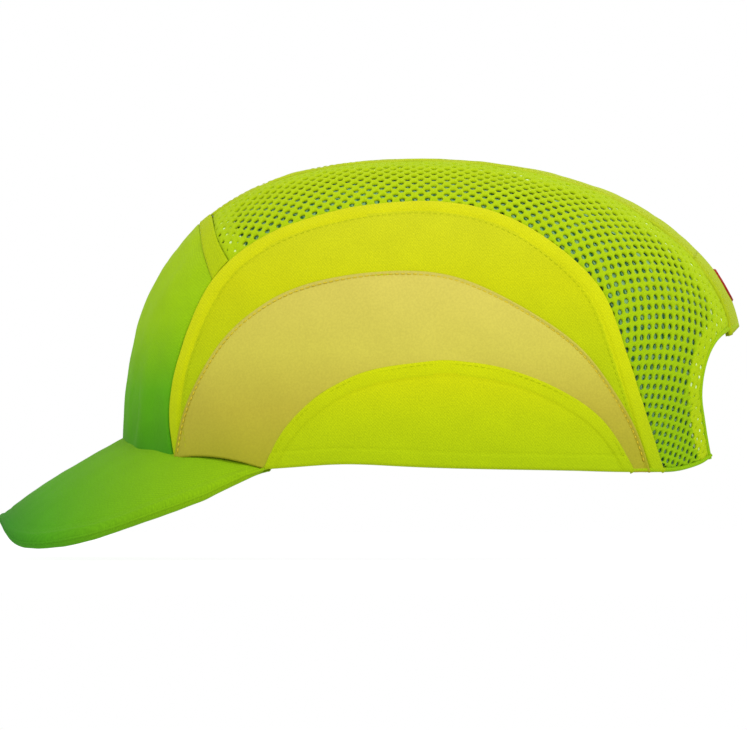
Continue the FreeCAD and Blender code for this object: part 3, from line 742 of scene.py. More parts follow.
def side_pieces():
    for side, sign in SIDES:
        inner = run_under(band_edge, 1.6)
        panel = strip_piece(f"side_panel_cloth_{side}", side_edge, inner, (220, 44), side_lift, side_twill,
                            [f"side_panel_{side}"], sign)
        paint_rim(panel, side_edge, 6.2, sign)
        band = strip_piece(f"reflective_tape_{side}", band_edge, run_under(lower_edge, 1.0), (240, 56),
                           band_lift, tape, [f"reflective_band_{side}"], sign, 0.5)
        lower = strip_piece(f"lower_panel_cloth_{side}", lower_edge, hem_under_lower, (200, 60), lower_lift,
                            lower_twill, [f"lower_panel_{side}"], sign, 1.3)
        paint_rim(lower, lower_edge, 5.4, sign)
        bm = bmesh.new()
        stitch_row(bm, *seam_points(band_edge, 1.5, 0.35, sign=sign), length=1.9, gap=0.25, radius=0.3)
        finished(f"tape_stitching_{side}", bm, thread_gold, "cover")
        bm = bmesh.new()
        stitch_row(bm, *seam_points(side_edge, 7.2, 0.1, sign=sign), length=1.7, gap=0.6, radius=0.1,
                   lift=0.0)
        stitch_row(bm, *seam_points(lower_edge, 1.6, 1.1, sign=sign), length=1.7, gap=0.6, radius=0.1,
                   lift=0.0)
        finished(f"panel_stitching_{side}", bm, thread_lime, "cover")


# ---------------------------------------------------------------- front panel and its seam strip
def front_pieces():
    side_count = SAMPLES
    meet = np.argmin(np.abs(side_edge[0] - strip_front[0][-1]) + np.abs(side_edge[1] - strip_front[1][-1]))
    left = (side_edge[0][:meet + 1], side_edge[1][:meet + 1])
    bottom_points = [p for p in HEM_FRONT if p[0] <= -91.0]
    bottom = crossing_seam(bottom_points[::-1], side_count)
    left = (np.concatenate([[bottom[0][-1]], left[0], [strip_front[0][-1]]]),
            np.concatenate([[bottom[1][-1]], left[1], [strip_front[1][-1]]]))
    right = mirrored_edge(left)

    def lift(base, u, v):
        from_top = (1 - v) * 80.0
        from_side = np.minimum(u, 1 - u) * 118.0
        x, z = base[..., 0], base[..., 2]
        aside = np.abs(x) - 42.0 + 0.1 * z
        folds = np.cos(aside * 0.36) * np.exp(-(aside / 15.0) ** 2) * np.clip(1 - z / 50.0, 0, 1)
        folds = 1.3 * folds * np.clip((z - 5) / 9, 0,
                                      1) + 0.3 * np.sin(x * 0.2 + 1.2) * np.clip(1 - z / 60.0, 0, 1)
        slack = 0.3 * ripple(base, 26.0, 11) + 0.08 * ripple(base, 9.0, 12)
        return np.maximum(folds + slack, -0.4) + rolled(from_top, 1.2, 0.9) + rolled(from_side, 1.2, 0.9)

    front = patch_piece("front_panel_cloth", bottom, strip_front, right, left, (150, 110), lift,
                        front_twill,
                        ["front_panel"])

    def strip_lift(base, from_front, from_rear, u):
        crown = 0.45 * np.clip(np.minimum(from_front, from_rear) / 1.2, 0, 1) ** 0.5
        return 0.25 + crown + 0.05 * ripple(base, 9.0, 13)

    strip = strip_piece("front_seam_tape", strip_front, strip_rear, (180, 14), strip_lift, front_tape,
                        ["front_seam_strip"], uv=lambda flat,
                        p: np.stack([p[:, 0], flat[:, 1] * 6], axis=1))
    bm = bmesh.new()
    stitch_row(bm, *seam_points(strip_rear, 0.9, 0.55, toward=(0, -160, 60)), length=1.6, gap=0.6,
               radius=0.16)
    stitch_row(bm, *seam_points(strip_front, -0.9, 0.55, toward=(0, -160, 60)), length=1.6, gap=0.6,
               radius=0.16)
    finished("front_strip_stitching", bm, thread_lime, "cover")


# ---------------------------------------------------------------- crown strip and rear yoke
def centre_pieces():
    def lift(base, from_a, from_b, u):
        edge = np.minimum(from_a, from_b)
        rim = 0.35 / (1 + np.exp((edge - 3.2) / 0.3)) - 0.22 * hump(edge, 3.6, 0.4)
        return 0.45 + rim + rolled(edge, 1.2, 0.9) + 0.16 * ripple(base, 24.0,
                                                                   15) + 0.06 * ripple(base, 8.0, 16)

    cut = int(SAMPLES * 0.86)
    spans = (("crown_strip_cloth", slice(0, cut + 1), (160, 40), "crown_strip", (0.051, 0.188), 0.0075),
             ("rear_yoke_cloth", slice(cut, SAMPLES), (30, 44), "rear_yoke", (0.055, 0.032), 0.0017))
    for name, part, size, node, flat, area in spans:
        edge = (centre_edge[0][part], centre_edge[1][part])
        wide = (edge[0], edge[1] + 0.5)
        piece = strip_piece(name, mirrored_edge(wide), wide, size, lift, strip_twill, [node],
                            uv=lambda flat, p: p[:, :2])
    bm = bmesh.new()
    for _, sign in SIDES:
        stitch_row(bm, *seam_points(centre_edge, 1.6, 0.75, sign=sign, toward=(0, 0, 300)), length=1.7,
                   gap=0.6, radius=0.16, lift=0.05)
    finished("crown_strip_stitching", bm, thread_lime, "cover")


# ---------------------------------------------------------------- spacer mesh
MESH_PITCH = 5.0                # hole to hole along a row; the next row is half a pitch on
MESH_ROW = 2.25
HOLE_RADIUS = 1.2
HOLE_DEPTH = 0.7
CLOSED_RADIUS = (0.35, 0.95)     # what is left of a hole where the mesh is double
TUCKED_UNDER = 2.2              # how far the mesh runs in under a seam
MESH_SCALE = 2.72               # mm on the skin for one degree of fan or arch
DOUBLED = 8.0                   # how far the mesh is laid double along its seams
DOUBLED_CENTRE = 11.5           # and beside the centre strip


def nearness(seams):
    """A function that gives how far points are from some seams."""
    points = np.concatenate([fan_point(*s) for s in seams])
    tree = KDTree(len(points))
    for i, p in enumerate(points):
        tree.insert(p, i)
    tree.balance()
    return lambda places: np.array([tree.find(p)[2] for p in places])


def nearest_on(fan, arch, seams):
    """The angles of the nearest place on some seams."""
    angles = np.concatenate([np.stack(s, axis=1) for s in seams])
    gaps = (angles[None, :, 0] - fan[:, None]) ** 2 + (angles[None, :, 1] - arch[:, None]) ** 2
    return angles[gaps.argmin(1)].T


def inside_outline(outline, y, z):
    """Whether side view points lie in a closed outline."""
    inside = np.zeros(y.shape, bool)
    for (ya, za), (yb, zb) in zip(outline, np.roll(outline, -1, axis=0)):
        if za == zb:
            continue
        crosses = (za > z) != (zb > z)
        inside ^= crosses & (y < (yb - ya) * (z - za) / (zb - za) + ya)
    return inside


def mesh_region():
    """The left mesh's outline seen along its angles: fan and arch."""
    last = len(centre_edge[0]) - 1
    arch_left = [(f, a) for f, a in zip(*arch_line) if a > centre_edge[1][last]]
    hem = list(zip(*side_seam(HEM_REAR, 40)))[::-1]
    side = list(zip(*side_edge))[::-1]
    meet = min(range(len(side)), key=lambda i: math.dist(side[i], (strip_rear[0][-1], strip_rear[1][-1])))
    front = [(f, a) for f, a in zip(*strip_rear) if a > centre_edge[1][0]][::-1]
    return np.array(list(zip(*centre_edge)) + arch_left + hem + side[:meet] + front)


def honeycomb(name, sign, near_any, near_double, region, replaces):
    """Open mesh: staggered holes through a cloth whose edges are doubled over the seams."""
    columns, rows = 48, 112
    arch_start, fan_start = 2.0, 28.0
    bm = bmesh.new()
    bmesh.ops.create_grid(bm, x_segments=columns, y_segments=rows, size=0.5)
    bm.verts.ensure_lookup_table()
    spots = {}
    for vert in bm.verts:
        i, j = round((vert.co.x + 0.5) * columns), round((vert.co.y + 0.5) * rows)
        spots[vert.index] = (i, j)
        zigzag = MESH_ROW / 3 * (1 if (i + j) % 2 == 0 else -1)
        vert.co = Vector((i * MESH_PITCH / 2, j * MESH_ROW + zigzag, 0))
    spare = []
    for edge in bm.edges:
        (i, j), (k, m) = (spots[v.index] for v in edge.verts)
        if i == k and (i + min(j, m)) % 2 == 1 and not edge.is_boundary:
            spare.append(edge)
    bmesh.ops.dissolve_edges(bm, edges=spare, use_verts=False)
    centres = np.array([f.calc_center_median() for f in bm.faces])
    fan = fan_start + centres[:, 1] / MESH_SCALE
    arch = arch_start + centres[:, 0] / MESH_SCALE
    open_edges = [(arch_line[0][SAMPLES // 2:], arch_line[1][SAMPLES // 2:]), side_seam(HEM_REAR, 120)]
    near_open = nearness(open_edges)
    folded_edges = [to_angles(seam_points(edge, 1.1, 0.0, 160, toward=(0, 0, height))[0])
                    for edge, height in zip(open_edges, (60, 200))]
    places = fan_point(fan, arch)
    inside = inside_outline(region, fan, arch)
    keep = inside | ((near_any(places) < TUCKED_UNDER) & (near_open(places) > 3.0))
    outside = [f for f, k in zip(bm.faces, keep) if not k or len(f.verts) != 6]
    bmesh.ops.delete(bm, geom=outside, context="FACES")
    made = bmesh.ops.inset_individual(bm, faces=bm.faces, thickness=0.4, depth=0.0)
    ring = set(made["faces"])
    middle = [f for f in bm.faces if f not in ring]
    random = np.random.default_rng(5)
    centres = np.array([f.calc_center_median() for f in middle])
    near = near_double(fan_point(fan_start + centres[:, 1] / MESH_SCALE,
                                 arch_start + centres[:, 0] / MESH_SCALE))
    for face, close, chance in zip(middle, near, random.random(len(middle))):
        centre = face.calc_center_median()
        closed_to = CLOSED_RADIUS[0] + chance ** 2 * (CLOSED_RADIUS[1] - CLOSED_RADIUS[0])
        wide = HOLE_RADIUS if close > DOUBLED else closed_to
        for vert in face.verts:
            dx, dy = vert.co.x - centre.x, vert.co.y - centre.y
            turn = math.pi / 2 if abs(dx) < 0.4 else math.pi / 6
            vert.co.x = centre.x + math.copysign(wide * math.cos(turn), dx)
            vert.co.y = centre.y + math.copysign(wide * math.sin(turn), dy)
    rims = list({e for f in middle for e in f.edges})
    bmesh.ops.delete(bm, geom=middle, context="FACES_ONLY")
    walls = bmesh.ops.extrude_edge_only(bm, edges=rims)
    for vert in (g for g in walls["geom"] if isinstance(g, bmesh.types.BMVert)):
        vert.co.z = -HOLE_DEPTH
    for vert in bm.verts:
        if vert.co.z == 0.0 and not any(len(f.verts) == 4 and min(v.co.z for v in f.verts) < -0.5
                                        for f in vert.link_faces):
            vert.co.z = 0.28
    faces = np.array([f.calc_center_median() for f in bm.faces])
    near = near_double(fan_point(fan_start + faces[:, 1] / MESH_SCALE,
                                 arch_start + faces[:, 0] / MESH_SCALE))
    for face, close in zip(bm.faces, near):
        face.material_index = int(close < DOUBLED)
    piece = finished(name, bm, mesh_yarn, None, replaces)
    piece.data.materials.append(double_yarn)

    def place(x, y, z):
        fan, arch = fan_start + y / MESH_SCALE, arch_start + x / MESH_SCALE
        within = inside_outline(region, fan, arch)
        loose = ~within & (near_open(fan_point(fan, arch)) < 4.0)
        fan[loose], arch[loose] = nearest_on(fan[loose], arch[loose], folded_edges)
        base = fan_point(fan, arch)
        near = near_double(base)
        doubled = 0.4 / (1 + np.exp((near - DOUBLED) / 0.4)) - 0.35 * hump(near, DOUBLED / 2, 0.5)
        depth_in = near_any(base) * np.where(within, 1, -1)
        tuck = -1.1 * np.clip((0.6 - depth_in) / 1.2, 0, 1)
        tuck -= 0.9 * np.clip((1.9 - near_open(base)) / 1.0, 0, 1)
        z = np.where((z > 0) & (near < DOUBLED), z * 0.35, z)
        return on_skin(fan, arch, z + doubled + tuck + 0.12 * ripple(base, 25.0,
                                                                     21)) * np.array([sign, 1, 1])

    warp(piece, place)
    face_out(piece)
    soften(piece, 1)
    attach(piece, "cover")
    return piece


def mesh_pieces():
    region = mesh_region()
    doubled_seams = [centre_edge, strip_rear, arch_line]
    near_any = nearness(doubled_seams + [side_edge, side_seam(HEM_REAR, 80)])
    near_centre, near_ends = nearness([centre_edge]), nearness([strip_rear, arch_line])

    def near_double(places):
        return np.minimum(near_centre(places) * DOUBLED / DOUBLED_CENTRE, near_ends(places))

    last = len(centre_edge[0]) - 1
    rear_left = [(f, a) for f, a in zip(*arch_line) if a > centre_edge[1][last]]
    hem = list(zip(*side_seam(HEM_REAR, 40)))[::-1]
    rear_line = fan_point(*np.array(rear_left + hem).T)
    rear = to_angles(even(rear_line, SAMPLES))
    front_part = np.array([(f, a) for f, a in zip(*strip_rear) if a > centre_edge[1][0]])
    front = (front_part[:, 0], front_part[:, 1])
    meet = np.argmin(np.abs(side_edge[0] - front[0][-1]) + np.abs(side_edge[1] - front[1][-1]))
    lower = (side_edge[0][meet:], side_edge[1][meet:])
    bottom = to_angles(even(fan_point(*lower), SAMPLES))
    top = to_angles(even(fan_point(*centre_edge), SAMPLES))

    def ground_lift(base, u, v):
        doubled = 0.8 / (1 + np.exp((near_double(base) - DOUBLED + 0.5) / 0.25))
        return -1.0 + doubled - 1.3 * np.clip((2.0 - near_any(base)) / 1.4, 0, 1)

    for side, sign in SIDES:
        piece = honeycomb(f"spacer_mesh_{side}", sign, near_any, near_double, region,
                          [f"crown_mesh_{side}"])
        ground = patch_piece(f"mesh_ground_{side}", bottom, top, (front[0][::-1], front[1][::-1]),
                             (rear[0][::-1], rear[1][::-1]), (170, 90),
                             ground_lift,
                             mesh_ground, (),
                             0.0, uv=lambda flat, p: p[:, :2] + p[:, 2:] * 0.5, sign=sign)
        ground.data.materials.append(mesh_doubled)
        centres = np.array([polygon.center
                            for polygon in ground.data.polygons]) / MM * np.array([sign, 1, 1])
        ground.data.polygons.foreach_set("material_index",
                                         (near_double(centres) < DOUBLED - 0.3).astype(int))
        thick(ground, 0.4)


# ---------------------------------------------------------------- edges: arch roll, hem
def along_frame(points, normals):
    """Directions across a path, lying in the skin, and out of it."""
    along = np.gradient(points, axis=0)
    along /= np.linalg.norm(along, axis=1, keepdims=True)
    return np.cross(normals, along), normals


def circle(radius_a, radius_b, count=10):
    turn = np.linspace(0, 2 * math.pi, count, endpoint=False)
    return np.stack([radius_a * np.cos(turn), radius_b * np.sin(turn)], axis=1)


def edge_pieces():
    points, normals = seam_points(arch_line, 0.9, -0.5, count=260, toward=(0, 0, 60))
    across, up = along_frame(points, normals)
    sweep_piece("arch_edge_roll", points, across, up, circle(0.9, 1.0, 14), mesh_yarn, "cover",
                ["arch_facing"])
    # the dark cord under the arch roll: partly binding, partly a painted shadow line
    points, normals = seam_points(arch_line, 0.7, -1.5, count=260, toward=(0, 0, 60))
    across, up = along_frame(points, normals)
    sweep_piece("arch_edge_binding_and_shadow", points, across, up, circle(0.9, 0.6, 10), binding_and_shadow_line, "cover")
    for side, sign in SIDES:
        for part, line in (("side", HEM_SIDE), ("rear", HEM_REAR)):
            edge = side_seam(line, 240)
            points, normals = seam_points(edge, 0.95, -0.5, count=240, sign=sign, toward=(0, 0, 200))
            across, up = along_frame(points, normals)
            sweep_piece(f"hem_roll_{part}_{side}", points, across, up, circle(0.8, 1.1, 12),
                        side_twill if part == "side" else mesh_yarn, "cover")
            # the dark cord under the hem roll: partly the tape's edge, partly a painted shadow line
            points, normals = seam_points(edge, 0.6, -1.4, count=240, sign=sign, toward=(0, 0, 200))
            across, up = along_frame(points, normals)
            sweep_piece(f"hem_edge_{part}_{side}", points, across, up, circle(0.55, 0.5, 10), binding_and_shadow_line,
                        "cover")


# ---------------------------------------------------------------- peak
def peak_height(x, y, down=0.0):
    ahead = PEAK_ROOT_Y - y
    drop = PEAK_ARCH_RADIUS - np.sqrt(PEAK_ARCH_RADIUS ** 2 - np.clip(np.abs(x), 0, 130) ** 2)
    return PEAK_ROOT_Z - PEAK_SLOPE * ahead - PEAK_CURL * ahead * ahead - drop - down


def peak_lines(count, inset):
    """The peak's root line on the crown and its outline, each from the right corner to the left."""
    half = [PEAK_CORNER] + PEAK_SIDE
    outline = np.array([(-x, y) for x, y in half] + [PEAK_TIP] + half[::-1])
    outline = even(smooth_line(outline, 1500), count)
    along = np.gradient(outline, axis=0)
    along /= np.linalg.norm(along, axis=1, keepdims=True)
    out = np.stack([along[:, 1], -along[:, 0]], axis=1)
    out *= np.sign((out * (outline - np.array([0, -90.0]))).sum(1).mean())
    y = np.concatenate([np.linspace(-58.0, -110.0, 700), np.linspace(-110.0, -110.95, 300)])
    x = plan_at(y, np.full_like(y, 3.0))
    left = np.stack([x, y], axis=1)[x > 0]
    root = even(np.concatenate([left * np.array([-1, 1]), left[::-1]]), count)
    return root * np.array([0.985, 0.985]), outline - out * inset, out


def edge_droop(x, y):
    """How far the covers sag over the board's edge, most along the sides and at the corners."""
    along = np.clip(np.abs(x) / 60.0, 0, 1) ** 2 * np.clip((-66.0 - y) / 14.0, 0, 1)
    return PEAK_DROOP * along


def peak_pieces():
    count, flat_rows, edge_rows = 320, 60, 9
    radius = PEAK_THICKNESS / 2
    root, inner, out = peak_lines(count + 1, radius)

    def cover(name, facing, node, seed):
        rows = flat_rows + edge_rows
        piece = finished(name, unit_grid(count, rows), peak_twill, None, node)

        def place(u, v, _):
            i = np.rint(u * count).astype(int)
            row = v * rows
            t = np.clip(row / flat_rows, 0, 1)
            turn = np.clip((row - flat_rows) / edge_rows, 0, 1) * math.pi / 2
            flat = root[i] + (inner[i] - root[i]) * t[:, None]
            tip = np.sqrt(np.clip(np.minimum(i, count - i) / 8, 0, 1))
            plan = flat + out[i] * (radius * tip * np.sin(turn))[:, None]
            middle = peak_height(flat[:, 0], flat[:, 1], radius)
            base = np.stack([plan[:, 0], plan[:, 1], middle], axis=1)
            from_edge = np.linalg.norm(inner[i] - flat, axis=1)
            soft = 0.16 * ripple(base, 30.0, seed) + 0.05 * ripple(base, 9.0, seed + 1)
            seam = -0.22 * hump(from_edge, 2.2, 0.6)
            height = (radius + soft + seam) * tip * np.cos(turn)
            sag = 1 - np.cos(turn) if facing > 0 else np.exp(-(from_edge / 4.0) ** 2)
            droop = edge_droop(plan[:, 0], plan[:, 1]) * sag
            return np.stack([plan[:, 0], plan[:, 1], middle + facing * height - droop], axis=1)

        warp(piece, place, lambda flat, p: p[:, :2])
        bm = bmesh.new()
        bm.from_mesh(piece.data)
        up = sum(f.normal.z * f.calc_area() for f in bm.faces)
        if up * facing < 0:
            bmesh.ops.reverse_faces(bm, faces=bm.faces)
        bm.to_mesh(piece.data)
        bm.free()
        thick(piece, 0.5)
        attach(piece, "cover")
        return piece

    cover("peak_top_cloth", 1.0, ["peak_top_cover"], 31)
    cover("peak_under_cloth", -1.0, ["peak_under_cover"], 41)
    edge = inner + out * (radius - 0.12)
    level = peak_height(inner[:, 0], inner[:, 1], radius) - edge_droop(edge[:, 0], edge[:, 1])
    points = np.column_stack([edge, level])
    along = np.gradient(points, axis=0)
    along /= np.linalg.norm(along, axis=1, keepdims=True)
    side = np.column_stack([out, np.zeros(len(out))])
    sweep_piece("peak_edge_piping", points, side, np.cross(along, side), circle(0.42, 0.5, 8), peak_twill,
                "cover",
                ["peak_edge_cord"])


# ---------------------------------------------------------------- inside: sweatband, hem tape, label
def inside_pieces():
    turns = np.linspace(-137.0, 137.0, 300)
    low_line, top = 4.6, 30.5
    rows = 26
    profile = []
    for k in range(rows):
        t = k / rows * 2 * math.pi
        profile.append((math.copysign(abs(math.cos(t)) ** 0.35, math.cos(t)),
                        math.copysign(abs(math.sin(t)) ** 0.6, math.sin(t))))
    piece = finished("sweatband_pad", unit_grid(299, rows), towelling, None,
                     ["sweatband"])
    ring = np.array(profile + profile[:1])

    def place(u, v, _):
        turn = np.interp(u, np.linspace(0, 1, 300), turns)
        j = np.rint(v * rows).astype(int)
        height = (low_line + top) / 2 + ring[j, 0] * (top - low_line) / 2
        end = np.clip(np.minimum(u, 1 - u) / 0.006, 0, 1) ** 0.5
        quilt = 0.12 * np.abs(np.sin(np.radians(turn) * 26)) * (ring[j, 1] < 0)
        depth = -1.95 + ring[j, 1] * 0.85 * end - quilt
        return on_wall(turn, height, depth)

    warp(piece, place, lambda flat, p: np.stack([flat[:, 0] * 460, p[:, 2]], axis=1))
    close_up(piece)
    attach(piece, "cover")
    bm = bmesh.new()
    for height in (8.2, 27.2):
        points = on_wall(turns, np.full_like(turns, height), -2.85)
        normals = outward(wall_point, turns, np.full_like(turns, height), 0.5)
        stitch_row(bm, points, -normals, length=2.2, gap=0.9, radius=0.2, lift=0.05)
    finished("sweatband_stitching", bm, thread_dark, "cover")

    heights = [(-112, 7.3), (-101, 3.4), (-91, 2.0), (-72, 0.3), (-47, 1.2), (-32, 2.1), (-11, 1.4),
               (46, -0.1), (80, -0.8)]
    ys, zs = np.array(heights).T
    tape_piece = finished("hem_tape_cloth", unit_grid(299, 8), lining, None, ["hem_tape"])

    def tape_place(u, v, _):
        turn = np.interp(u, np.linspace(0, 1, 300), turns)
        base = wall_point(turn, np.full_like(turn, 2.0))
        height = np.interp(base[:, 1], ys, zs) + 0.2 + v * 4.2
        return on_wall(turn, height, -1.05 - 0.12 * np.sin(v * math.pi))

    warp(tape_piece, tape_place, lambda flat, p: np.stack([flat[:, 0] * 460, flat[:, 1] * 4.2], axis=1))
    face_out(tape_piece)
    thick(tape_piece, 0.45)
    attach(tape_piece, "cover")

    label = finished("care_label_satin", unit_grid(18, 18), satin_label, None,
                     ["care_label"])

    def label_place(u, v, _):
        y, z = 34.5 + u * 17.0, 8.5 + v * 18.0
        base = np.stack([plan_at(y, z), y, z], axis=1)
        turn = np.degrees(np.arctan2(base[:, 0], -base[:, 1]))
        return on_wall(turn, z, -3.0 - 0.12 * np.sin(u * 5) * v)

    warp(label, label_place, lambda flat, p: flat[:, :2] * 18)
    face_out(label)
    label.data.flip_normals()
    thick(label, 0.15)
    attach(label, "cover")


def close_up(piece):
    """Joins a wrapped grid's doubled edge, closes its ends and turns it outwards."""
    bm = bmesh.new()
    bm.from_mesh(piece.data)
    bmesh.ops.remove_doubles(bm, verts=bm.verts, dist=1e-7)
    bmesh.ops.holes_fill(bm, edges=[e for e in bm.edges if e.is_boundary], sides=0)
    bmesh.ops.recalc_face_normals(bm, faces=bm.faces)
    bm.to_mesh(piece.data)
    bm.free()
    piece.data.polygons.foreach_set("use_smooth", np.ones(len(piece.data.polygons), bool))
    return piece


# ---------------------------------------------------------------- patch at the back
def patch_pieces():
    piece = finished("rear_tab_woven", unit_grid(26, 20), patch_weave, None, ["rear_patch"])

    def place(u, v, _):
        a, b = 2 * u - 1, 2 * v - 1
        reach = np.maximum(np.abs(a), np.abs(b))
        length = np.maximum((np.abs(a) ** 2.3 + np.abs(b) ** 2.3) ** (1 / 2.3), 1e-9)
        a, b = a / length * reach, b / length * reach
        z = 65.5 + b * 6.0
        start = np.stack([a * 8.5, np.zeros_like(a), z], axis=1)
        direction = np.zeros_like(start)
        direction[:, 1] = 1.0
        p = outermost(start, direction, 140.0)
        fan, arch = to_angles(p)
        height = 0.95 + 0.25 * hump(reach, 0.9, 0.1) + rolled((1 - reach) * 7, 0.7, 0.6)
        return on_skin(fan, arch, height)

    piece.data.materials.append(strip_twill)
    for polygon in piece.data.polygons:
        reach = 2 * max(abs(polygon.center.x - 0.5), abs(polygon.center.y - 0.5))
        polygon.material_index = int(reach < 0.72 and int(polygon.center.x * 26) % 4 < 2)
    warp(piece, place, lambda flat, p: p[:, (0, 2)])
    face_out(piece)
    thick(piece, 0.8)
    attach(piece, "cover")


# ---------------------------------------------------------------- strap
def ribbon(name, path, low, high, thickness, material, replaces=(), ribs=6, body="cover"):
    """Webbing that stands on its edge and follows a line seen from above."""
    path = np.column_stack([path, np.full(len(path), (low + high) / 2)])
    along = np.gradient(path, axis=0)
    along /= np.linalg.norm(along, axis=1, keepdims=True)
    out = np.column_stack([-along[:, 1], along[:, 0], np.zeros(len(path))])
    up = np.tile([0, 0, 1.0], (len(path), 1))
    half, depth = (high - low) / 2, thickness / 2
    steps = 32
    face = [(depth * (0.86 + 0.14 * math.cos(ribs * 2 * math.pi * k / steps))
             * (1 - 0.5 * abs(2 * k / steps - 1) ** 14),
             half * (2 * k / steps - 1)) for k in range(steps + 1)]
    profile = face + [(-d, h) for d, h in reversed(face)]
    return sweep_piece(name, path, out, up, profile, material, body, replaces)


def inner_wall(side, y_values, depth):
    """A line seen from above, a depth inside the crown's wall at the strap's height."""
    z = np.full_like(y_values, 14.0)
    x = plan_at(y_values, z)
    turn = np.degrees(np.arctan2(x, -y_values))
    points = on_wall(turn, z, np.full_like(z, -depth))
    return points[:, :2] * np.array([side, 1])


def arc(centre, radius, start, end, count=24):
    turn = np.radians(np.linspace(start, end, count))
    return np.stack([centre[0] + radius * np.cos(turn), centre[1] + radius * np.sin(turn)], axis=1)


def strap_pieces():
    run_y, tail_y = BAR_Y - WRAP_RADIUS, BAR_Y + WRAP_RADIUS
    sewn = inner_wall(-1.0, np.linspace(78.5, 90.0, 12), 3.0)
    path = np.concatenate([sewn, np.array([(-44.0, run_y - 0.1), (-36.0, run_y)])])
    path = np.concatenate([smooth_line(path, 60),
                           np.stack([np.linspace(-35.0, BAR_X - 0.3, 60), np.full(60, run_y)], axis=1)])
    ribbon("strap_run_webbing", path, STRAP_LOW, STRAP_HIGH, WEBBING, webbing,
           ["strap_run"])

    sewn = inner_wall(1.0, np.linspace(78.5, 89.0, 10), 3.0)
    path = np.concatenate([smooth_line(np.concatenate([sewn,
                                                       [(46.5, run_y - 0.1), (ANCHOR_BAR_X + 0.6, run_y)]]),
                                                       50),
                           arc((ANCHOR_BAR_X, BAR_Y), WRAP_RADIUS, -90, -268),
                           np.array([(ANCHOR_BAR_X + 1.0, tail_y - 0.15),
                                     (ANCHOR_BAR_X + 2.4, tail_y - 0.75)])])
    ribbon("ring_tab_webbing", even(path, 110), STRAP_LOW, STRAP_HIGH, WEBBING, webbing,
           ["ring_tab"])

    path = np.concatenate([arc((BAR_X, BAR_Y), WRAP_RADIUS, -90, 90, 30),
                           np.stack([np.linspace(BAR_X - 0.5, TAIL_END_X - 1.5, 90), np.full(90, tail_y)],
                                    axis=1)])
    free = ribbon("strap_free_end", path, STRAP_LOW, STRAP_HIGH, WEBBING, webbing,
                  ["strap_fold", "strap_tail"], body=None)
    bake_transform(free)

    loops = np.stack([np.linspace(-40.0, 29.0, 60), np.full(60, run_y + 0.6 + 0.5)], axis=1)
    ribbon("loop_strip_pile", loops, STRAP_LOW + 1.4, STRAP_HIGH - 1.4, 0.95, pile,
           ["loop_patch"], ribs=0)
    hooks = np.stack([np.linspace(-10.0, 23.0, 40), np.full(40, tail_y - 0.6 - 0.5)], axis=1)
    ribbon("hook_strip_pile", hooks, STRAP_LOW + 1.4, STRAP_HIGH - 1.4, 0.95, pile,
           ["hook_patch"],
           ribs=0, body="strap_free_tail")
    bm = bmesh.new()
    out = np.array([0, 1.0, 0])
    for x in (-9.0, 21.5):
        line = np.array([(x, tail_y + 0.6, z) for z in np.linspace(STRAP_LOW + 1.5, STRAP_HIGH - 1.5, 20)])
        stitch_row(bm, line, np.tile(out, (20, 1)), length=1.6, gap=0.5, radius=0.2, lift=0.02)
    finished("strap_tail_stitching", bm, thread_dark, "strap_free_tail")


# ---------------------------------------------------------------- foam pads and CAD pieces that stay
def pad_pieces():
    for node in ("crown_pad_left", "crown_pad_centre", "crown_pad_right", "front_pad", "rear_pad",
                 "side_pad_left", "side_pad_right"):
        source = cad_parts[node]
        mesh = source.data.copy()
        bm = bmesh.new()
        bm.from_mesh(mesh)
        bmesh.ops.remove_doubles(bm, verts=bm.verts, dist=1e-6)
        piece = finished(f"{node}_foam", bm, foam, None, [node])
        cells = piece.modifiers.new("Cells", "REMESH")
        cells.mode, cells.voxel_size = "VOXEL", 0.0014
        round_off = piece.modifiers.new("Round", "SMOOTH")
        round_off.factor, round_off.iterations = 0.6, 8
        bpy.context.view_layer.update()
        dg = bpy.context.evaluated_depsgraph_get()
        baked = bpy.data.meshes.new_from_object(piece.evaluated_get(dg))
        piece.modifiers.clear()
        piece.data = baked
        if not baked.materials:
            baked.materials.append(foam)
        baked.polygons.foreach_set("use_smooth", np.ones(len(baked.polygons), bool))
        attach(piece, "insert")


def dress(node, material):
    """Gives a CAD piece its material."""
    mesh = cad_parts[node].data
    mesh.materials.clear()
    mesh.materials.append(material)


side_pieces()
front_pieces()
centre_pieces()
mesh_pieces()
edge_pieces()
peak_pieces()
inside_pieces()
patch_pieces()
strap_pieces()
pad_pieces()
for node, material in (("bump_shell", abs_plastic), ("strap_ring", ring_plastic), ("pull_tab", tab_rubber),
                       ("peak_board", stiffener), ("loop_dots", pile), ("hook_dots", pile)):
    dress(node, material)


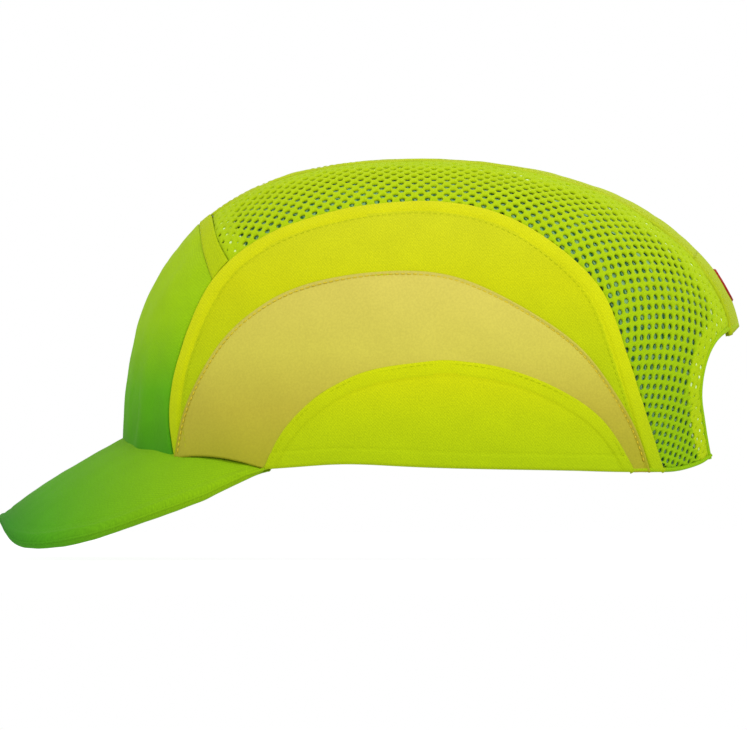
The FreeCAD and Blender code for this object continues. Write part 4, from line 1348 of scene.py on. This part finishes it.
# ---------------------------------------------------------------- floor, light and camera
def stage_and_light():
    bm = bmesh.new()
    bmesh.ops.create_circle(bm, cap_ends=True, segments=96, radius=0.9)
    bmesh.ops.translate(bm, verts=bm.verts, vec=(0, 0, -0.0325))
    floor_material, tree, shader = new_material("PalePaper", Roughness=0.9)
    where = add(tree, "ShaderNodeTexCoord").outputs["Object"]
    grain = add(tree, "ShaderNodeTexNoise", {"Vector": where, "Scale": 300.0}).outputs[0]
    tree.links.new(ramp(tree, grain, [(0.0, "#3A3A3A"), (1.0, "#404040")]), shader.inputs["Base Color"])
    shader.inputs["Emission Color"].default_value = (1, 1, 1, 1)
    shader.inputs["Emission Strength"].default_value = 0.95
    floor = finished("floor", bm, floor_material, None, smooth=False)

    world = bpy.data.worlds.new("Studio")
    bpy.context.scene.world = world
    world.use_nodes = True
    world.node_tree.nodes["Background"].inputs["Color"].default_value = (1, 1, 1, 1)
    world.node_tree.nodes["Background"].inputs["Strength"].default_value = 1.0
    lamps = (("key", (0.9, 0.35, 0.9), 0.9, 7.6), ("fill", (0.4, -1.2, 0.5), 1.0, 1.2),
             ("back", (-0.9, 0.6, 0.8), 0.9, 3.0))
    for name, place, size, power in lamps:
        data = bpy.data.lights.new(name, "AREA")
        data.shape, data.size, data.energy = "DISK", size, power
        lamp = bpy.data.objects.new(name, data)
        lamp.location = place
        lamp.rotation_mode = "QUATERNION"
        lamp.rotation_quaternion = (Vector((0, 0, 0.05)) - Vector(place)).to_track_quat("-Z", "Y")
        bpy.context.scene.collection.objects.link(lamp)

    camera = bpy.data.cameras.new("camera")
    camera.lens, camera.sensor_width = 800.0, 36.0
    holder = bpy.data.objects.new("camera", camera)
    width = 747 * 0.36 * MM
    distance = camera.lens / camera.sensor_width * width
    holder.location = (distance, -0.0205, 0.0371)
    holder.rotation_mode = "QUATERNION"
    holder.rotation_quaternion = Vector((-1, 0, 0)).to_track_quat("-Z", "Y")
    camera.clip_start, camera.clip_end = 0.1, 50.0
    bpy.context.scene.collection.objects.link(holder)
    bpy.context.scene.camera = holder
    bpy.context.scene.view_settings.view_transform = "Standard"


stage_and_light()
